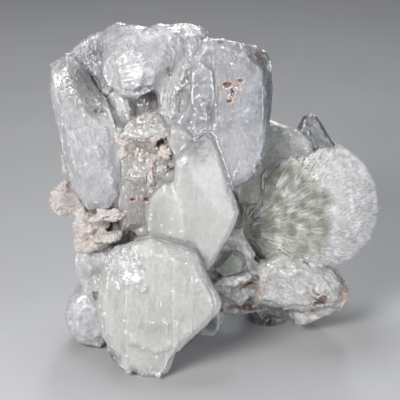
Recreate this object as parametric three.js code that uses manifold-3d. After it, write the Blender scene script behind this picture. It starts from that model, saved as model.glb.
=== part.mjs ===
// A hand-sized cluster of stilbite crystals with a ball of mordenite needles, as broken from a lava cavity.
// Millimetres, +Z up, X to the right and Y away from the side that shows best. The cluster stands on its broken feet at z = 0.
// A crystal's outline is drawn as it is seen from the front, in x and z, and the crystal runs back from it along y.
import * as THREE from 'three';
import { ConvexGeometry } from 'three/addons/geometries/ConvexGeometry.js';
import { mergeVertices } from 'three/addons/utils/BufferGeometryUtils.js';
import Module from 'manifold-3d';

const wasm = await Module();
wasm.setup();

// Driving dimensions
const SEAM = 0.3; // the gap left where one piece has grown against another
const FLOOR = 0; // the level of the broken feet
const CENTRE = [0.6, 0.4]; // the middle of the cluster's box, in x and y, as drawn

const BALL = { at: [24, 7.5, 31], radius: 15.9, root: [7, 5.4, 26], rootRadius: 6.2, ridges: 19, ridge: 0.4, tuft: 0.7 };
const BALL_BREAK = { at: [16.9, -1.5, 31.6], facing: [-0.6, -0.79, 0.05] }; // the broken face that shows the needles lengthwise
const BALL_DETAIL = 5; // how finely the ball of needles is faceted
const CRUMB = 2; // mm3: anything smaller that a neighbour cuts loose is dropped
const LUMP_REACH = 1.14; // a lump's corners stand this far out, so that its flats come near its named size

// Colours and finishes
const satin = (color, roughness) => new THREE.MeshStandardMaterial({ color, roughness, metalness: 0 });
const finish = {
  stilbite: satin(0xc9c9cb, 0.45),
  greyStilbite: satin(0xa9aaa7, 0.4),
  mordenite: satin(0xdcdcda, 0.7),
  crust: satin(0xb9a9a2, 0.85),
  clear: satin(0xd5dad6, 0.08),
};

// A closed geometry as a solid that can be joined and cut.
function solidOf(geometry) {
  const bare = new THREE.BufferGeometry();
  bare.setAttribute('position', geometry.getAttribute('position'));
  if (geometry.index) bare.setIndex(geometry.index);
  const merged = mergeVertices(bare, 1e-4);
  return new wasm.Manifold(new wasm.Mesh({
    numProp: 3,
    vertProperties: merged.attributes.position.array,
    triVerts: new Uint32Array(merged.index.array),
  }));
}

const union = (solids) => solids.reduce((a, b) => a.add(b));

// The one body that a piece is left as. It stops the build where a real part of the piece would fall away.
function wholeBody(name, solid) {
  const [body, ...rest] = solid.decompose().sort((a, b) => b.volume() - a.volume());
  if (rest.some((crumb) => crumb.volume() > CRUMB)) {
    throw new Error(`${name} falls apart: ${rest.map((crumb) => crumb.volume().toFixed(1))}`);
  }
  return body;
}

// Where a crystal stands: its outline's middle at its depth, turned about the upright and tipped.
function placed(middle, y, yaw, pitch) {
  const turn = new THREE.Euler(THREE.MathUtils.degToRad(pitch), 0, THREE.MathUtils.degToRad(yaw), 'ZYX');
  return new THREE.Matrix4().makeRotationFromEuler(turn).setPosition(middle[0], y, middle[1]);
}

// A convex crystal: its outline is its widest section, at depth y. From there it rounds off over shoulder to a front face
// of size face, in as many bevels as round, and narrows over deep to a back face of size taper.
function crystal(spec, grow = 0) {
  const { outline, y, deep, face = 0.85, shoulder = 1.5, round = 1, taper = 0.8, slide = [0, 0], yaw = 0, pitch = 0 } = spec;
  const xs = outline.map((p) => p[0]);
  const zs = outline.map((p) => p[1]);
  const middle = [(Math.min(...xs) + Math.max(...xs)) / 2, (Math.min(...zs) + Math.max(...zs)) / 2];
  const half = [(Math.max(...xs) - Math.min(...xs)) / 2, (Math.max(...zs) - Math.min(...zs)) / 2];
  const stretch = half.map((h) => (h + grow) / h);
  const points = [];
  const ring = (size, depth, shift) => {
    for (const [x, z] of outline) {
      const across = (x - middle[0]) * size * stretch[0] + slide[0] * shift;
      points.push(new THREE.Vector3(across, depth, (z - middle[1]) * size * stretch[1] + slide[1] * shift));
    }
  };
  for (let step = 0; step <= round; step++) {
    const t = step / round;
    ring(face + (1 - face) * Math.sqrt(1 - (1 - t) ** 2), -(shoulder + grow) * (1 - t), 1 - t);
  }
  ring(taper, deep + grow, 0);
  return solidOf(new ConvexGeometry(points).applyMatrix4(placed(middle, y, yaw, pitch)));
}

// A repeatable number from 0 to 1 for a place, used for the unevenness of lumps.
function chance(x, y, z) {
  const s = Math.sin(x * 12.9898 + y * 78.233 + z * 37.719) * 43758.5453;
  return s - Math.floor(s);
}

// A rounded, uneven lump of crust.
function lump({ at, size, rough = 0.16 }, grow = 0) {
  const geometry = new THREE.DodecahedronGeometry(LUMP_REACH, 0).deleteAttribute('normal').deleteAttribute('uv');
  const ball = mergeVertices(geometry, 1e-4);
  const position = ball.attributes.position;
  const v = new THREE.Vector3();
  for (let i = 0; i < position.count; i++) {
    v.fromBufferAttribute(position, i);
    const swell = 1 + rough * (chance(v.x + at[0], v.y + at[1], v.z + at[2]) - 0.5) * 2;
    position.setXYZ(i, v.x * (size[0] * swell + grow) + at[0], v.y * (size[1] * swell + grow) + at[1],
      v.z * (size[2] * swell + grow) + at[2]);
  }
  return solidOf(ball);
}

const crystals = (specs) => (grow) => union(specs.map((spec) => crystal(spec, grow)));
const lumps = (specs) => (grow) => union(specs.map((spec) => lump(spec, grow)));

// The ball of needles: a dome drawn in to the root that the needles grow from, and broken open at the front.
function needleBall(grow = 0) {
  const geometry = new THREE.IcosahedronGeometry(1, BALL_DETAIL).deleteAttribute('normal').deleteAttribute('uv');
  const merged = mergeVertices(geometry, 1e-5);
  const position = merged.attributes.position;
  const centre = new THREE.Vector3(...BALL.at);
  const axis = new THREE.Vector3(...BALL.root).sub(centre);
  const reach = axis.length();
  axis.normalize();
  const side = new THREE.Vector3(0, 1, 0).cross(axis).normalize();
  const across = axis.clone().cross(side);
  const cone = Math.acos((BALL.radius - BALL.rootRadius) / reach);
  const facing = new THREE.Vector3(...BALL_BREAK.facing).normalize();
  const toBreak = facing.dot(new THREE.Vector3(...BALL_BREAK.at).sub(centre));
  const v = new THREE.Vector3();
  for (let i = 0; i < position.count; i++) {
    v.fromBufferAttribute(position, i).normalize();
    const away = v.angleTo(axis);
    const turn = Math.atan2(v.dot(across), v.dot(side));
    let radius = BALL.radius + BALL.tuft * (chance(v.x, v.y, v.z) - 0.5);
    if (away < cone) {
      radius = BALL.radius / Math.cos(cone - away);
      const inRoot = BALL.rootRadius ** 2 - (reach * Math.sin(away)) ** 2;
      if (inRoot > 0) radius = Math.min(radius, reach * Math.cos(away) + Math.sqrt(inRoot));
    }
    const ridge = BALL.ridge * Math.cos(turn * BALL.ridges + 2 * Math.sin(turn * 3));
    const front = v.dot(facing);
    if (front * radius > toBreak) radius = (toBreak + ridge) / front;
    v.multiplyScalar(radius + grow).add(centre);
    position.setXYZ(i, v.x, v.y, v.z);
  }
  return solidOf(merged);
}

// The tall crystal on the left, with a narrower one grown on its right flank.
const leftColumn = [
  { outline: [[-34.2, 71.4], [-31.5, 69.6], [-29, 66], [-26.5, 61], [-24, 53], [-22, 45], [-22, 38.5], [-24, 35.2], [-29, 34.6],
      [-32.5, 39], [-34, 46], [-36.7, 56], [-38.3, 63.5], [-37.8, 69]],
    y: -3.5, deep: 13, face: 0.5, shoulder: 5.5, round: 3, yaw: -6, pitch: -9 },
  { outline: [[-28, 64], [-25.2, 62.5], [-23, 55], [-20.8, 46.5], [-21.5, 40], [-25, 42], [-27.5, 54]],
    y: -4.6, deep: 12, face: 0.74, shoulder: 2.6, round: 2, yaw: 14, pitch: -4 },
];

// The sheaf across the top: a grey fan on the left, a pearly dome, and a broad ridged flank on the right.
const topSheaf = [
  { outline: [[-34, 70.4], [-32.8, 72], [-30.4, 73.8], [-28.5, 74.8], [-25, 64], [-28, 62], [-30, 63.5], [-33.2, 68]],
    y: 2, deep: 7, face: 0.85, shoulder: 1.6, yaw: -16, pitch: -16 },
  { outline: [[-30.6, 73.2], [-28.6, 75], [-26, 76], [-24, 77], [-22.2, 77.6], [-21, 68], [-23.5, 61], [-28, 61], [-30.5, 66]],
    y: 1, deep: 10, face: 0.88, shoulder: 1.4, yaw: -10, pitch: -16 },
  { outline: [[-24.4, 77], [-22.4, 77.8], [-20, 77.2], [-17, 76.6], [-16, 68], [-19, 64], [-23, 66]],
    y: 2, deep: 11, face: 0.85, shoulder: 2, yaw: -4, pitch: -16 },
  { outline: [[-25.7, 68.8], [-25.2, 72.6], [-23.2, 75.4], [-21, 76.6], [-19, 73], [-18.6, 66.6], [-20.4, 63.8], [-23.8, 65]],
    y: -3.8, deep: 14, face: 0.68, shoulder: 4.2, round: 2, slide: [0.8, -1.6], yaw: -16, pitch: -13 },
  { outline: [[-22.8, 74.4], [-20.8, 76.8], [-18, 77.6], [-15.8, 76.6], [-14.8, 71], [-15.6, 65.6], [-18, 63.4], [-21.2, 64.2]],
    y: -4.6, deep: 15, face: 0.64, shoulder: 4.8, round: 2, slide: [0, -2], yaw: -2, pitch: -14 },
  { outline: [[-17.8, 76], [-15.2, 76.6], [-13.2, 74], [-12.6, 70.5], [-13.2, 67.5], [-15, 65], [-17.6, 64.4], [-18.4, 70]],
    y: -3.6, deep: 14, face: 0.68, shoulder: 4, round: 2, slide: [-0.6, -1.6], yaw: 14, pitch: -13 },
  { outline: [[-23.6, 67.8], [-13.6, 66.8], [-14.4, 64.6], [-17.8, 62.9], [-21.8, 63.4]],
    y: -7.6, deep: 10, face: 0.75, shoulder: 1.4, pitch: -14 },
  { outline: [[-17.2, 76.4], [-15, 77.4], [-12.4, 78.4], [-10.8, 78], [-9.6, 70], [-11, 65], [-13.5, 66], [-16, 70]],
    y: -1, deep: 14, face: 0.7, shoulder: 3.4, round: 2, slide: [0, -2], yaw: -6, pitch: -18 },
  { outline: [[-11, 77.6], [-8.8, 78], [-6.4, 77.6], [-3.2, 77.4], [-1.4, 76], [-2, 69], [-5.5, 66], [-9.5, 62], [-12, 66]],
    y: 0.4, deep: 13, face: 0.66, shoulder: 5, round: 2, slide: [0.4, -2.4], pitch: -18 },
  { outline: [[-12.9, 65.8], [-11, 68], [-9, 65.8], [-7.6, 61.5], [-7.4, 57.4], [-9.2, 55], [-11.2, 56.6], [-12.4, 60.5]],
    y: -4, deep: 11, face: 0.6, shoulder: 2.4, round: 2, yaw: -10, pitch: -8 },
  { outline: [[-9.2, 67], [-5.4, 70.4], [-4.2, 66.5], [-4.4, 60], [-5.2, 54], [-8, 53], [-9.6, 60]],
    y: -2.4, deep: 11, face: 0.7, shoulder: 1.6, yaw: 14, pitch: -8 },
  { outline: [[-23, 58], [-22, 72], [-6, 74], [-3, 62], [-7, 55], [-18, 54]], y: 1.6, deep: 12.4, face: 0.85, shoulder: 1.5 },
];

// The broad slab on the right, with thinner plates grown on its face and edge.
const rightSlab = [
  { outline: [[-4.9, 67], [-4.2, 72], [-2, 75.8], [2, 76], [5.2, 75], [7.6, 73.6], [10.4, 70.8], [11.8, 67], [12, 60], [11.5, 54],
      [10.9, 49], [10.2, 45.2], [7.2, 42.8], [3, 40.4], [-1.5, 40.5], [-4.2, 49], [-5.2, 57]],
    y: -6.5, deep: 9, face: 0.9, shoulder: 1.5, round: 2, taper: 0.86, yaw: 4, pitch: -9 },
  { outline: [[5, 75], [9.8, 73.6], [12.6, 72], [13.6, 70], [13.5, 62], [12.8, 55.5], [11.5, 48], [6, 46], [3, 60]],
    y: -4, deep: 6, face: 0.93, shoulder: 0.8, taper: 0.9, yaw: 8, pitch: -8 },
  { outline: [[-4.8, 68.4], [-2.2, 70.2], [-0.5, 68.8], [0.2, 64], [-0.4, 59.5], [-1.8, 57], [-3.8, 58.2], [-5, 63]],
    y: -7.7, deep: 3.6, face: 0.92, shoulder: 0.6, yaw: -3, pitch: -10 },
  { outline: [[-5.6, 62.5], [-4.2, 64.6], [-3, 61.8], [-1.4, 56.6], [-2.8, 52.6], [-5, 52.4], [-6.4, 57.4]],
    y: -7, deep: 5, face: 0.84, shoulder: 0.9, yaw: -10, pitch: -8 },
  { outline: [[-8.6, 57], [-6.4, 60.6], [-2, 62], [0.6, 57], [-0.6, 50], [-4, 47.6], [-8.4, 50]],
    y: -6.8, deep: 7, face: 0.86, shoulder: 0.9, yaw: -8, pitch: -8 },
  { outline: [[-2.6, 62.2], [-1.7, 62.2], [-1.4, 58.4], [-2.3, 58.2]],
    y: -9.9, deep: 2.4, face: 0.9, shoulder: 0.3, yaw: 14, pitch: -8 },
  { outline: [[1.6, 58], [4.6, 61], [8.6, 60], [10.6, 55], [9.8, 46.5], [7, 43.4], [3.2, 41.4], [0.6, 44], [0, 52]],
    y: -7.6, deep: 3.6, face: 0.9, shoulder: 0.8, yaw: 2, pitch: -9 },
  { outline: [[9.2, 72], [11.6, 70], [12.1, 62], [11.6, 52], [10.6, 46], [9.6, 52], [9.4, 62]],
    y: -6.4, deep: 4, face: 0.86, shoulder: 0.7, yaw: 14, pitch: -9 },
];

// Small pits in the slab's face.
const slabPits = [
  { at: [3.2, -8.8, 65.4], size: [1.6, 2, 1] },
  { at: [6.3, -8, 66.4], size: [0.9, 1.4, 0.7] },
  { at: [3.4, -9.2, 61.6], size: [0.9, 1.4, 0.6] },
  { at: [4.4, -9, 63.4], size: [0.5, 1.2, 1.6] },
];

// The creamy blade in the middle, with a shorter one overlapping its left side.
const middleBlade = [
  { outline: [[-8.6, 48.7], [-6.3, 51.2], [-1.7, 55], [-0.3, 56], [1.4, 48.6], [2.7, 42.2], [5.7, 36.1], [4.9, 33.4], [3, 29.6],
      [-0.5, 23.6], [-3, 21], [-9, 21.5], [-11, 30], [-10, 38]],
    y: -11.6, deep: 12, face: 0.86, shoulder: 1.8, round: 2, yaw: 4, pitch: -5 },
  { outline: [[-11.4, 43.6], [-14.6, 39.8], [-15.6, 35.2], [-15.2, 30], [-13, 24.6], [-9, 21], [-5.6, 22], [-5.8, 31], [-7, 40]],
    y: -13, deep: 11, face: 0.86, shoulder: 1.3, round: 2, yaw: -8, pitch: -4 },
  { outline: [[-10, 56.2], [-7.4, 56.2], [-4.4, 54.4], [-4.6, 49], [-8, 47.6], [-10.4, 52]],
    y: -9, deep: 7, face: 0.78, shoulder: 0.9, yaw: -12, pitch: -10 },
];

// The large crystal at the front left, in three parallel growths above the lobe that the cluster stands on.
const frontCrystal = [
  { outline: [[-26.8, 17], [-25.8, 24], [-24.8, 28.4], [-22.6, 30.6], [-18.6, 31.8], [-12, 30], [-10, 20], [-11, 8], [-20, 6],
      [-25.6, 9]],
    y: -21.6, deep: 14, face: 0.76, shoulder: 3.2, round: 2, yaw: -7, pitch: -7 },
  { outline: [[-18.4, 32.4], [-14.4, 33.2], [-10, 31.4], [-6, 30.4], [-3.6, 29.4], [-2.4, 26.5], [-0.4, 22.4], [1.6, 18], [1.4, 16.4],
      [-0.8, 14], [-4, 11], [-8, 7], [-14, 5], [-21, 8], [-22, 20]],
    y: -23, deep: 15, face: 0.82, shoulder: 2.6, round: 2, taper: 0.85, yaw: 3, pitch: -6 },
  { outline: [[-25.4, 9], [-24.2, 6], [-22.4, 3.6], [-19.6, 1.4], [-16.6, -0.6], [-13, -1.4], [-10.8, 0.8], [-9.6, 4.6], [-7.6, 8.8],
      [-9, 14], [-20, 15], [-25, 12]],
    y: -22, deep: 12, face: 0.72, shoulder: 3.2, round: 2, pitch: -3 },
  { outline: [[-4.6, 28.6], [-2.8, 26.2], [1.4, 18], [1, 16], [-3, 12], [-8, 12], [-8.4, 26]],
    y: -22.6, deep: 10, face: 0.82, shoulder: 1.4, yaw: 22, pitch: -4 },
  { outline: [[-23.8, 5.2], [-21.4, 3], [-19.6, 1.6], [-18.2, 4], [-19.6, 6.6], [-22.6, 7]],
    y: -24.6, deep: 5, face: 0.7, shoulder: 1, yaw: -14, pitch: -10 },
];

// What shows deep in the pocket between the big crystals, and what they stand on behind the front one.
const pocketCrystals = [
  { outline: [[-24, 53], [-14, 55], [-8, 50], [-8, 40], [-9, 28], [-12, 18], [-22, 18], [-25, 25], [-24.5, 40]],
    y: -2, deep: 14, face: 0.9, shoulder: 1.5, pitch: -3 },
  { outline: [[-23.6, 55], [-18, 56.4], [-12, 56], [-8, 53], [-6.8, 45], [-7.4, 37], [-9.4, 30], [-21.6, 30], [-24, 40]],
    y: -6.2, deep: 10, face: 0.86, shoulder: 1.3, pitch: -4 },
  { outline: [[-25, 23], [-8, 26], [-3, 20], [-2, 8], [-6, 1], [-16, -1], [-24, 3], [-26, 12]],
    y: -6.5, deep: 17, face: 0.85, shoulder: 3, taper: 0.9 },
  { outline: [[-25, 63.6], [-22.4, 63.4], [-20.4, 62], [-18.7, 57.4], [-19, 53], [-24, 51], [-26, 58]],
    y: -2.8, deep: 11, face: 0.8, shoulder: 1.2, taper: 0.95, yaw: -20, pitch: -8 },
  { outline: [[-22, 52.8], [-20.6, 55.6], [-18.3, 57.8], [-15.6, 59], [-13.2, 59.2], [-11.4, 57.6], [-10.4, 54.8], [-13, 53.6],
      [-17.5, 52.6]],
    y: -7, deep: 11, face: 0.84, shoulder: 1, yaw: -6, pitch: -30 },
  { outline: [[-19.4, 49.4], [-16.8, 51], [-14.2, 51.2], [-11.8, 50.4], [-14, 48.2], [-17.2, 46.6]],
    y: -6.4, deep: 10, face: 0.8, shoulder: 1, pitch: -26 },
  { outline: [[-14.1, 45.2], [-13.5, 46.8], [-12, 47.3], [-10.6, 46.6], [-10, 45], [-10.8, 43.5], [-12.2, 43], [-13.6, 43.7]],
    y: -7.2, deep: 9, face: 0.6, shoulder: 1.4, pitch: -8 },
  { outline: [[-20, 43.8], [-19.2, 45.6], [-17.4, 46.2], [-15.5, 45], [-15.1, 43.2], [-16.4, 41.8], [-18.8, 42]],
    y: -7, deep: 9, face: 0.64, shoulder: 1.3, pitch: -8 },
  { outline: [[-19.8, 40], [-18.8, 41.6], [-17, 41.8], [-15.6, 40.2], [-16.6, 38.4], [-18.8, 38.4]],
    y: -6.2, deep: 8, face: 0.6, shoulder: 1.4, pitch: -8 },
];

// The small rounded crystals at the lower left, and the smooth one above them.
const lowerLeft = [
  { outline: [[-35.3, 9.6], [-35.3, 6.8], [-34, 3.4], [-32, 1], [-27, 0], [-24, 5], [-24, 11], [-26.5, 14], [-31.4, 15], [-34, 12.6]],
    y: -6.5, deep: 12, face: 0.5, shoulder: 4.5, round: 3, pitch: -4 },
  { outline: [[-30.6, 13], [-31.2, 16.8], [-33, 19.4], [-32.9, 22.8], [-31, 26], [-26, 26.6], [-22.6, 24], [-22, 16], [-25, 11]],
    y: -6.4, deep: 13, face: 0.72, shoulder: 2.6, round: 2, yaw: -6, pitch: -6 },
  { outline: [[-28.6, 14.8], [-28.8, 18.6], [-25.4, 19.8], [-23, 17], [-24, 13]],
    y: -9, deep: 7, face: 0.6, shoulder: 1.4, yaw: -14, pitch: -8 },
  { outline: [[-33.6, 22], [-33.2, 31], [-32.4, 34], [-28, 34], [-26, 28], [-27, 20]],
    y: -2.6, deep: 10, face: 0.8, shoulder: 1, yaw: -18 },
  { outline: [[-33, 9], [-31, -1], [-26, -1.2], [-23, 4], [-24, 14], [-30, 14]], y: 3, deep: 7, face: 0.8, shoulder: 2 },
];

const greyBack = [
  { outline: [[3.6, 38], [5, 50], [9, 55], [12, 53.8], [14, 52.4], [16.2, 51.6], [18, 51.6], [20, 51], [22, 50], [23.6, 48.4],
      [24, 46.6], [23.6, 42], [20, 36], [14, 32], [6, 33]],
    y: 4, deep: 8.5, face: 0.9, shoulder: 1.6, round: 2, yaw: -5, pitch: -3 },
  { outline: [[-2, 42], [0, 58], [7, 62], [10, 56], [10, 40], [4, 34]], y: 6, deep: 11, face: 0.85, shoulder: 2, yaw: 8, pitch: -6 },
];

const spike = [
  { outline: [[19.6, 45.5], [20.8, 50], [21.8, 51.6], [23.2, 54.2], [24.6, 54.4], [25.8, 52.6], [29.4, 46.4], [30, 42], [26, 38],
      [21, 38]],
    y: 6, deep: 7, face: 0.78, shoulder: 1.5, yaw: 10, pitch: -8 },
  { outline: [[20.2, 48], [21, 51], [21.9, 53.2], [22.8, 52.6], [23.6, 46], [21.6, 44]],
    y: 5, deep: 5, face: 0.8, shoulder: 0.8, yaw: -10, pitch: -8 },
];

// The sugary, crusted crystals under the ball of needles, with a dark one beneath them.
const lowerRight = [
  { outline: [[7, 15], [10, 18.6], [17, 20.4], [24, 19.4], [29, 17], [31, 14], [31.4, 10.4], [29, 8.6], [24, 7.4], [17, 7.8],
      [9.4, 9.6]],
    y: -0.5, deep: 15, face: 0.66, shoulder: 5, round: 3, pitch: -10 },
  { outline: [[27.4, 14.8], [30, 15.6], [32.2, 13.4], [33.1, 11.2], [33, 8.4], [31, 6], [27.4, 6.6]],
    y: 1.6, deep: 11, face: 0.6, shoulder: 3.4, round: 2, yaw: 10, pitch: -6 },
  { outline: [[18, 8], [21.5, 10], [30, 9], [30.4, 6.6], [27.4, 4.8], [24, 3.2], [20.8, 2.4], [19.2, 4.6]],
    y: 1, deep: 12, face: 0.72, shoulder: 2.8, round: 2, pitch: -4 },
  { outline: [[9.6, 9], [18.4, 8], [19.8, 4], [17.8, 0.6], [15, -1.2], [12.2, -1.2], [10, 3]],
    y: 6, deep: 13, face: 0.75, shoulder: 2, yaw: 6 },
  { outline: [[0.9, 17.4], [3.4, 18.8], [7.4, 19.2], [9.2, 18.2], [7.6, 16.8], [2.4, 16.2]],
    y: -7.2, deep: 10, face: 0.84, shoulder: 0.7, pitch: -10 },
  { outline: [[0.8, 15.8], [8, 16.8], [9, 12], [6.4, 10], [2.4, 12.2]],
    y: -5.2, deep: 12, face: 0.75, shoulder: 1.4, yaw: -8, pitch: -10 },
  { outline: [[0.8, 12.4], [14, 12.4], [14, 6.4], [9, 5.4], [2, 5.4]], y: 0.6, deep: 12, face: 0.85, shoulder: 1.5 },
  { outline: [[12, 19], [16, 21.8], [22, 21.2], [25, 18.8], [20, 16], [14, 16]],
    y: -1.8, deep: 12, face: 0.7, shoulder: 2.2, round: 2, pitch: -24 },
  { outline: [[-3.4, 20], [-1.4, 24], [2.8, 29], [7, 28.6], [10, 22], [9, 15], [1, 12.6], [-1, 13.6]],
    y: -4, deep: 13, face: 0.8, shoulder: 1.6, yaw: 10, pitch: -4 },
];

// The back, which the front hides: broad crystals side by side, broken flat underneath.
const rear = [
  { outline: [[-25, 10], [-27.6, 26], [-27.4, 46], [-24, 54], [-17, 57], [-11, 53], [-10, 30], [-12, 4], [-16, -1], [-22, -1]],
    y: 11, deep: 11, face: 0.78, shoulder: 2.6, round: 2, taper: 0.7, yaw: -10, pitch: 4 },
  { outline: [[-14, 8], [-13, 48], [-9, 62], [-3, 65], [2, 60], [4, 42], [2, 24], [-1, 8], [-6, -1], [-11, -1]],
    y: 13, deep: 12, face: 0.74, shoulder: 3, round: 2, taper: 0.66, yaw: 7, pitch: 3 },
  { outline: [[-31, 30], [-32, 44], [-28, 52], [-23, 51], [-21, 38], [-23, 26]],
    y: 8, deep: 10, face: 0.72, shoulder: 2.4, taper: 0.6, yaw: -28, pitch: 5 },
  { outline: [[-1, 12], [0, 33], [4, 42], [11, 40], [13, 27], [11, 14], [5, 9]],
    y: 13, deep: 9, face: 0.72, shoulder: 2.4, taper: 0.64, yaw: 18, pitch: 7 },
  { outline: [[-20, 2], [-21, 20], [-17, 29], [-11, 28], [-7, 19], [-8, 4], [-12, -1], [-17, -1]],
    y: 18, deep: 8.5, face: 0.7, shoulder: 2.4, taper: 0.62, yaw: -5, pitch: 6 },
  { outline: [[-9, 30], [-10, 44], [-6, 53], [-1, 51], [1, 40], [-3, 29]],
    y: 21, deep: 6, face: 0.7, shoulder: 2, taper: 0.6, yaw: 12, pitch: 6 },
  { outline: [[-26, 50], [-25, 62], [-19, 66], [-13, 62], [-13, 50], [-20, 46]],
    y: 9, deep: 9, face: 0.75, shoulder: 2, taper: 0.62, yaw: -12, pitch: -8 },
  { outline: [[-4.4, 7.8], [0.4, 8.2], [2.6, 5.4], [2.8, 3], [0.4, -0.6], [-4.5, -0.8]],
    y: 0, deep: 15, face: 0.8, shoulder: 1.5 },
];

const clearCrystal = [
  { outline: [[0.4, 19.6], [4.6, 24], [6.4, 23.6], [7.4, 22], [6.8, 19.6], [2.6, 18]],
    y: -7.6, deep: 4, face: 0.86, shoulder: 0.8, taper: 0.9, yaw: -8, pitch: -6 },
];

// Pink crust that lines the pocket and the left side, with the pale ledge and bar that it carries.
const pocketCrust = [
  { at: [-21.4, -7.6, 52.4], size: [2, 1.4, 1.3] }, { at: [-18.2, -8.1, 52.9], size: [2.4, 1.4, 1.2] },
  { at: [-14.8, -8.6, 53.4], size: [2.4, 1.4, 1.2] }, { at: [-11.6, -9, 53.8], size: [2, 1.4, 1.6] },
  { at: [-10.8, -8.9, 50.9], size: [1.3, 1.4, 2.1] }, { at: [-12.4, -8.8, 48.8], size: [2.1, 1.5, 1.4] },
  { at: [-14.4, -8.6, 46.6], size: [1.5, 1.4, 2.1] }, { at: [-14.5, -8.3, 42.8], size: [1.1, 1.4, 2.8] },
  { at: [-21.6, -7.4, 49.4], size: [1.5, 1.4, 2.4] },
];
const leftCrust = [
  { at: [-35.4, -1.2, 35.6], size: [3.2, 4, 3.9] }, { at: [-32, -3.4, 36.4], size: [3, 3.4, 3.2] },
  { at: [-29.2, -5.4, 33.4], size: [3.2, 2.6, 2.2] }, { at: [-30.2, -5, 29.8], size: [2.6, 2.5, 2.6] },
  { at: [-31.2, -6.2, 26.4], size: [2, 2.4, 2.1] }, { at: [-26.6, -5, 31.4], size: [2.4, 2, 2.2] },
];
const leftBars = [
  { outline: [[-28.6, 34.8], [-27.4, 36], [-22.6, 35.2], [-20.8, 34.6], [-21.6, 33.4], [-25.6, 32.8], [-28, 33.4]],
    y: -8.6, deep: 6, face: 0.84, shoulder: 0.7, yaw: -4, pitch: -14 },
  { outline: [[-32.4, 26], [-31, 27.8], [-27, 28.8], [-23.4, 30.2], [-21.5, 30.6], [-21.4, 29], [-23.4, 28.2], [-27, 26.4],
      [-30.6, 25.2]],
    y: -9.6, deep: 7, face: 0.88, shoulder: 0.6, yaw: -4, pitch: -12 },
];
const baseCrust = [
  { at: [31.4, 3, 11.2], size: [2, 3, 2.6] }, { at: [30, 2.5, 13.8], size: [1.8, 2.4, 1.4] }, { at: [31.6, 4.5, 8.4], size: [1.4, 2.6, 1.8] },
];

// Each piece, in the order in which it keeps its whole shape: a later one is cut clear of those before it.
const pieces = [
  ['front_crystal', crystals(frontCrystal), finish.stilbite],
  ['middle_blade', crystals(middleBlade), finish.stilbite],
  ['right_slab', (grow) => crystals(rightSlab)(grow).subtract(lumps(slabPits)(-grow)), finish.stilbite],
  ['left_column', crystals(leftColumn), finish.stilbite],
  ['top_sheaf', crystals(topSheaf), finish.stilbite],
  ['clear_crystal', crystals(clearCrystal), finish.clear],
  ['pocket_crystals', crystals(pocketCrystals), finish.stilbite],
  ['lower_left_crystals', crystals(lowerLeft), finish.stilbite],
  ['base_crust', lumps(baseCrust), finish.crust],
  ['lower_right_crystals', crystals(lowerRight), finish.stilbite],
  ['mordenite_ball', needleBall, finish.mordenite],
  ['grey_crystal', crystals(greyBack), finish.greyStilbite],
  ['spike_crystal', crystals(spike), finish.greyStilbite],
  ['pocket_crust', lumps(pocketCrust), finish.crust],
  ['left_crust', (grow) => lumps(leftCrust)(grow).add(crystals(leftBars)(grow)), finish.crust],
  ['rear_crystals', crystals(rear), finish.stilbite],
];

function meshOf(name, solid, material) {
  const { vertProperties, triVerts } = solid.getMesh();
  const geometry = new THREE.BufferGeometry();
  geometry.setAttribute('position', new THREE.BufferAttribute(vertProperties, 3));
  geometry.setIndex(new THREE.BufferAttribute(triVerts, 1));
  geometry.computeVertexNormals();
  const mesh = new THREE.Mesh(geometry, material);
  mesh.name = name;
  return mesh;
}

const cluster = new THREE.Group();
const grown = [];
for (const [name, make, material] of pieces) {
  const clear = grown.reduce((solid, neighbour) => solid.subtract(neighbour), make(0));
  const body = wholeBody(name, clear.trimByPlane([0, 0, 1], FLOOR));
  cluster.add(meshOf(name, body.translate([-CENTRE[0], -CENTRE[1], 0]), material));
  grown.push(make(SEAM));
}

export default cluster;
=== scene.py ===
"""The looks of a hand-sized cluster of stilbite crystals with a ball of mordenite needles.

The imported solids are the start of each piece. They are grown a little until they meet, turned into one
skin, and then given the relief, grains and needles of the real stone.
"""

import math

import bpy
from bpy.props import FloatProperty, FloatVectorProperty, PointerProperty
from mathutils import Euler, Matrix, Vector
from random import Random


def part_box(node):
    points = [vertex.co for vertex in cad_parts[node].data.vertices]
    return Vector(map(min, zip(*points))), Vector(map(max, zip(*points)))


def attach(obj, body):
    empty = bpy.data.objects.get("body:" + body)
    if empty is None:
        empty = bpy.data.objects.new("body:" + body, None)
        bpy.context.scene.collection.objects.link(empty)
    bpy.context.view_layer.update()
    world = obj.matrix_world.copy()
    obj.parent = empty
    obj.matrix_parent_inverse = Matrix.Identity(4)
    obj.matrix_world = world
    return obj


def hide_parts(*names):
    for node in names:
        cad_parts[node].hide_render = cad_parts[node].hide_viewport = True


bl_info = {
    "name": "Stilbite and mordenite cluster",
    "version": (1, 0, 0),
    "blender": (4, 5, 0),
    "location": "3D View > Sidebar > Specimen",
    "description": "Grows the stone, needles and crust of a zeolite specimen around its packed solids",
    "category": "Add Mesh",
}

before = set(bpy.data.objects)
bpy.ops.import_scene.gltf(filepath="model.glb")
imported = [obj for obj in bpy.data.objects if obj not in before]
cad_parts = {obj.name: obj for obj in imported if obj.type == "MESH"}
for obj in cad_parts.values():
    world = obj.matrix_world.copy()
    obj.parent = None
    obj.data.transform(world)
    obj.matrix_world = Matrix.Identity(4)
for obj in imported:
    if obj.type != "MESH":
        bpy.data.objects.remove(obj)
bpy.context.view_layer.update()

MM = 0.001
MERGE = 0.01 * MM  # corners closer than this are one corner
SEAM_CLOSING = 0.3 * MM  # how far each solid grows, so that neighbours meet


# Places, sizes and colours


def at(x, y, z):
    """A place on the specimen, given in millimetres."""
    return Vector((x, y, z)) * MM


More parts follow.
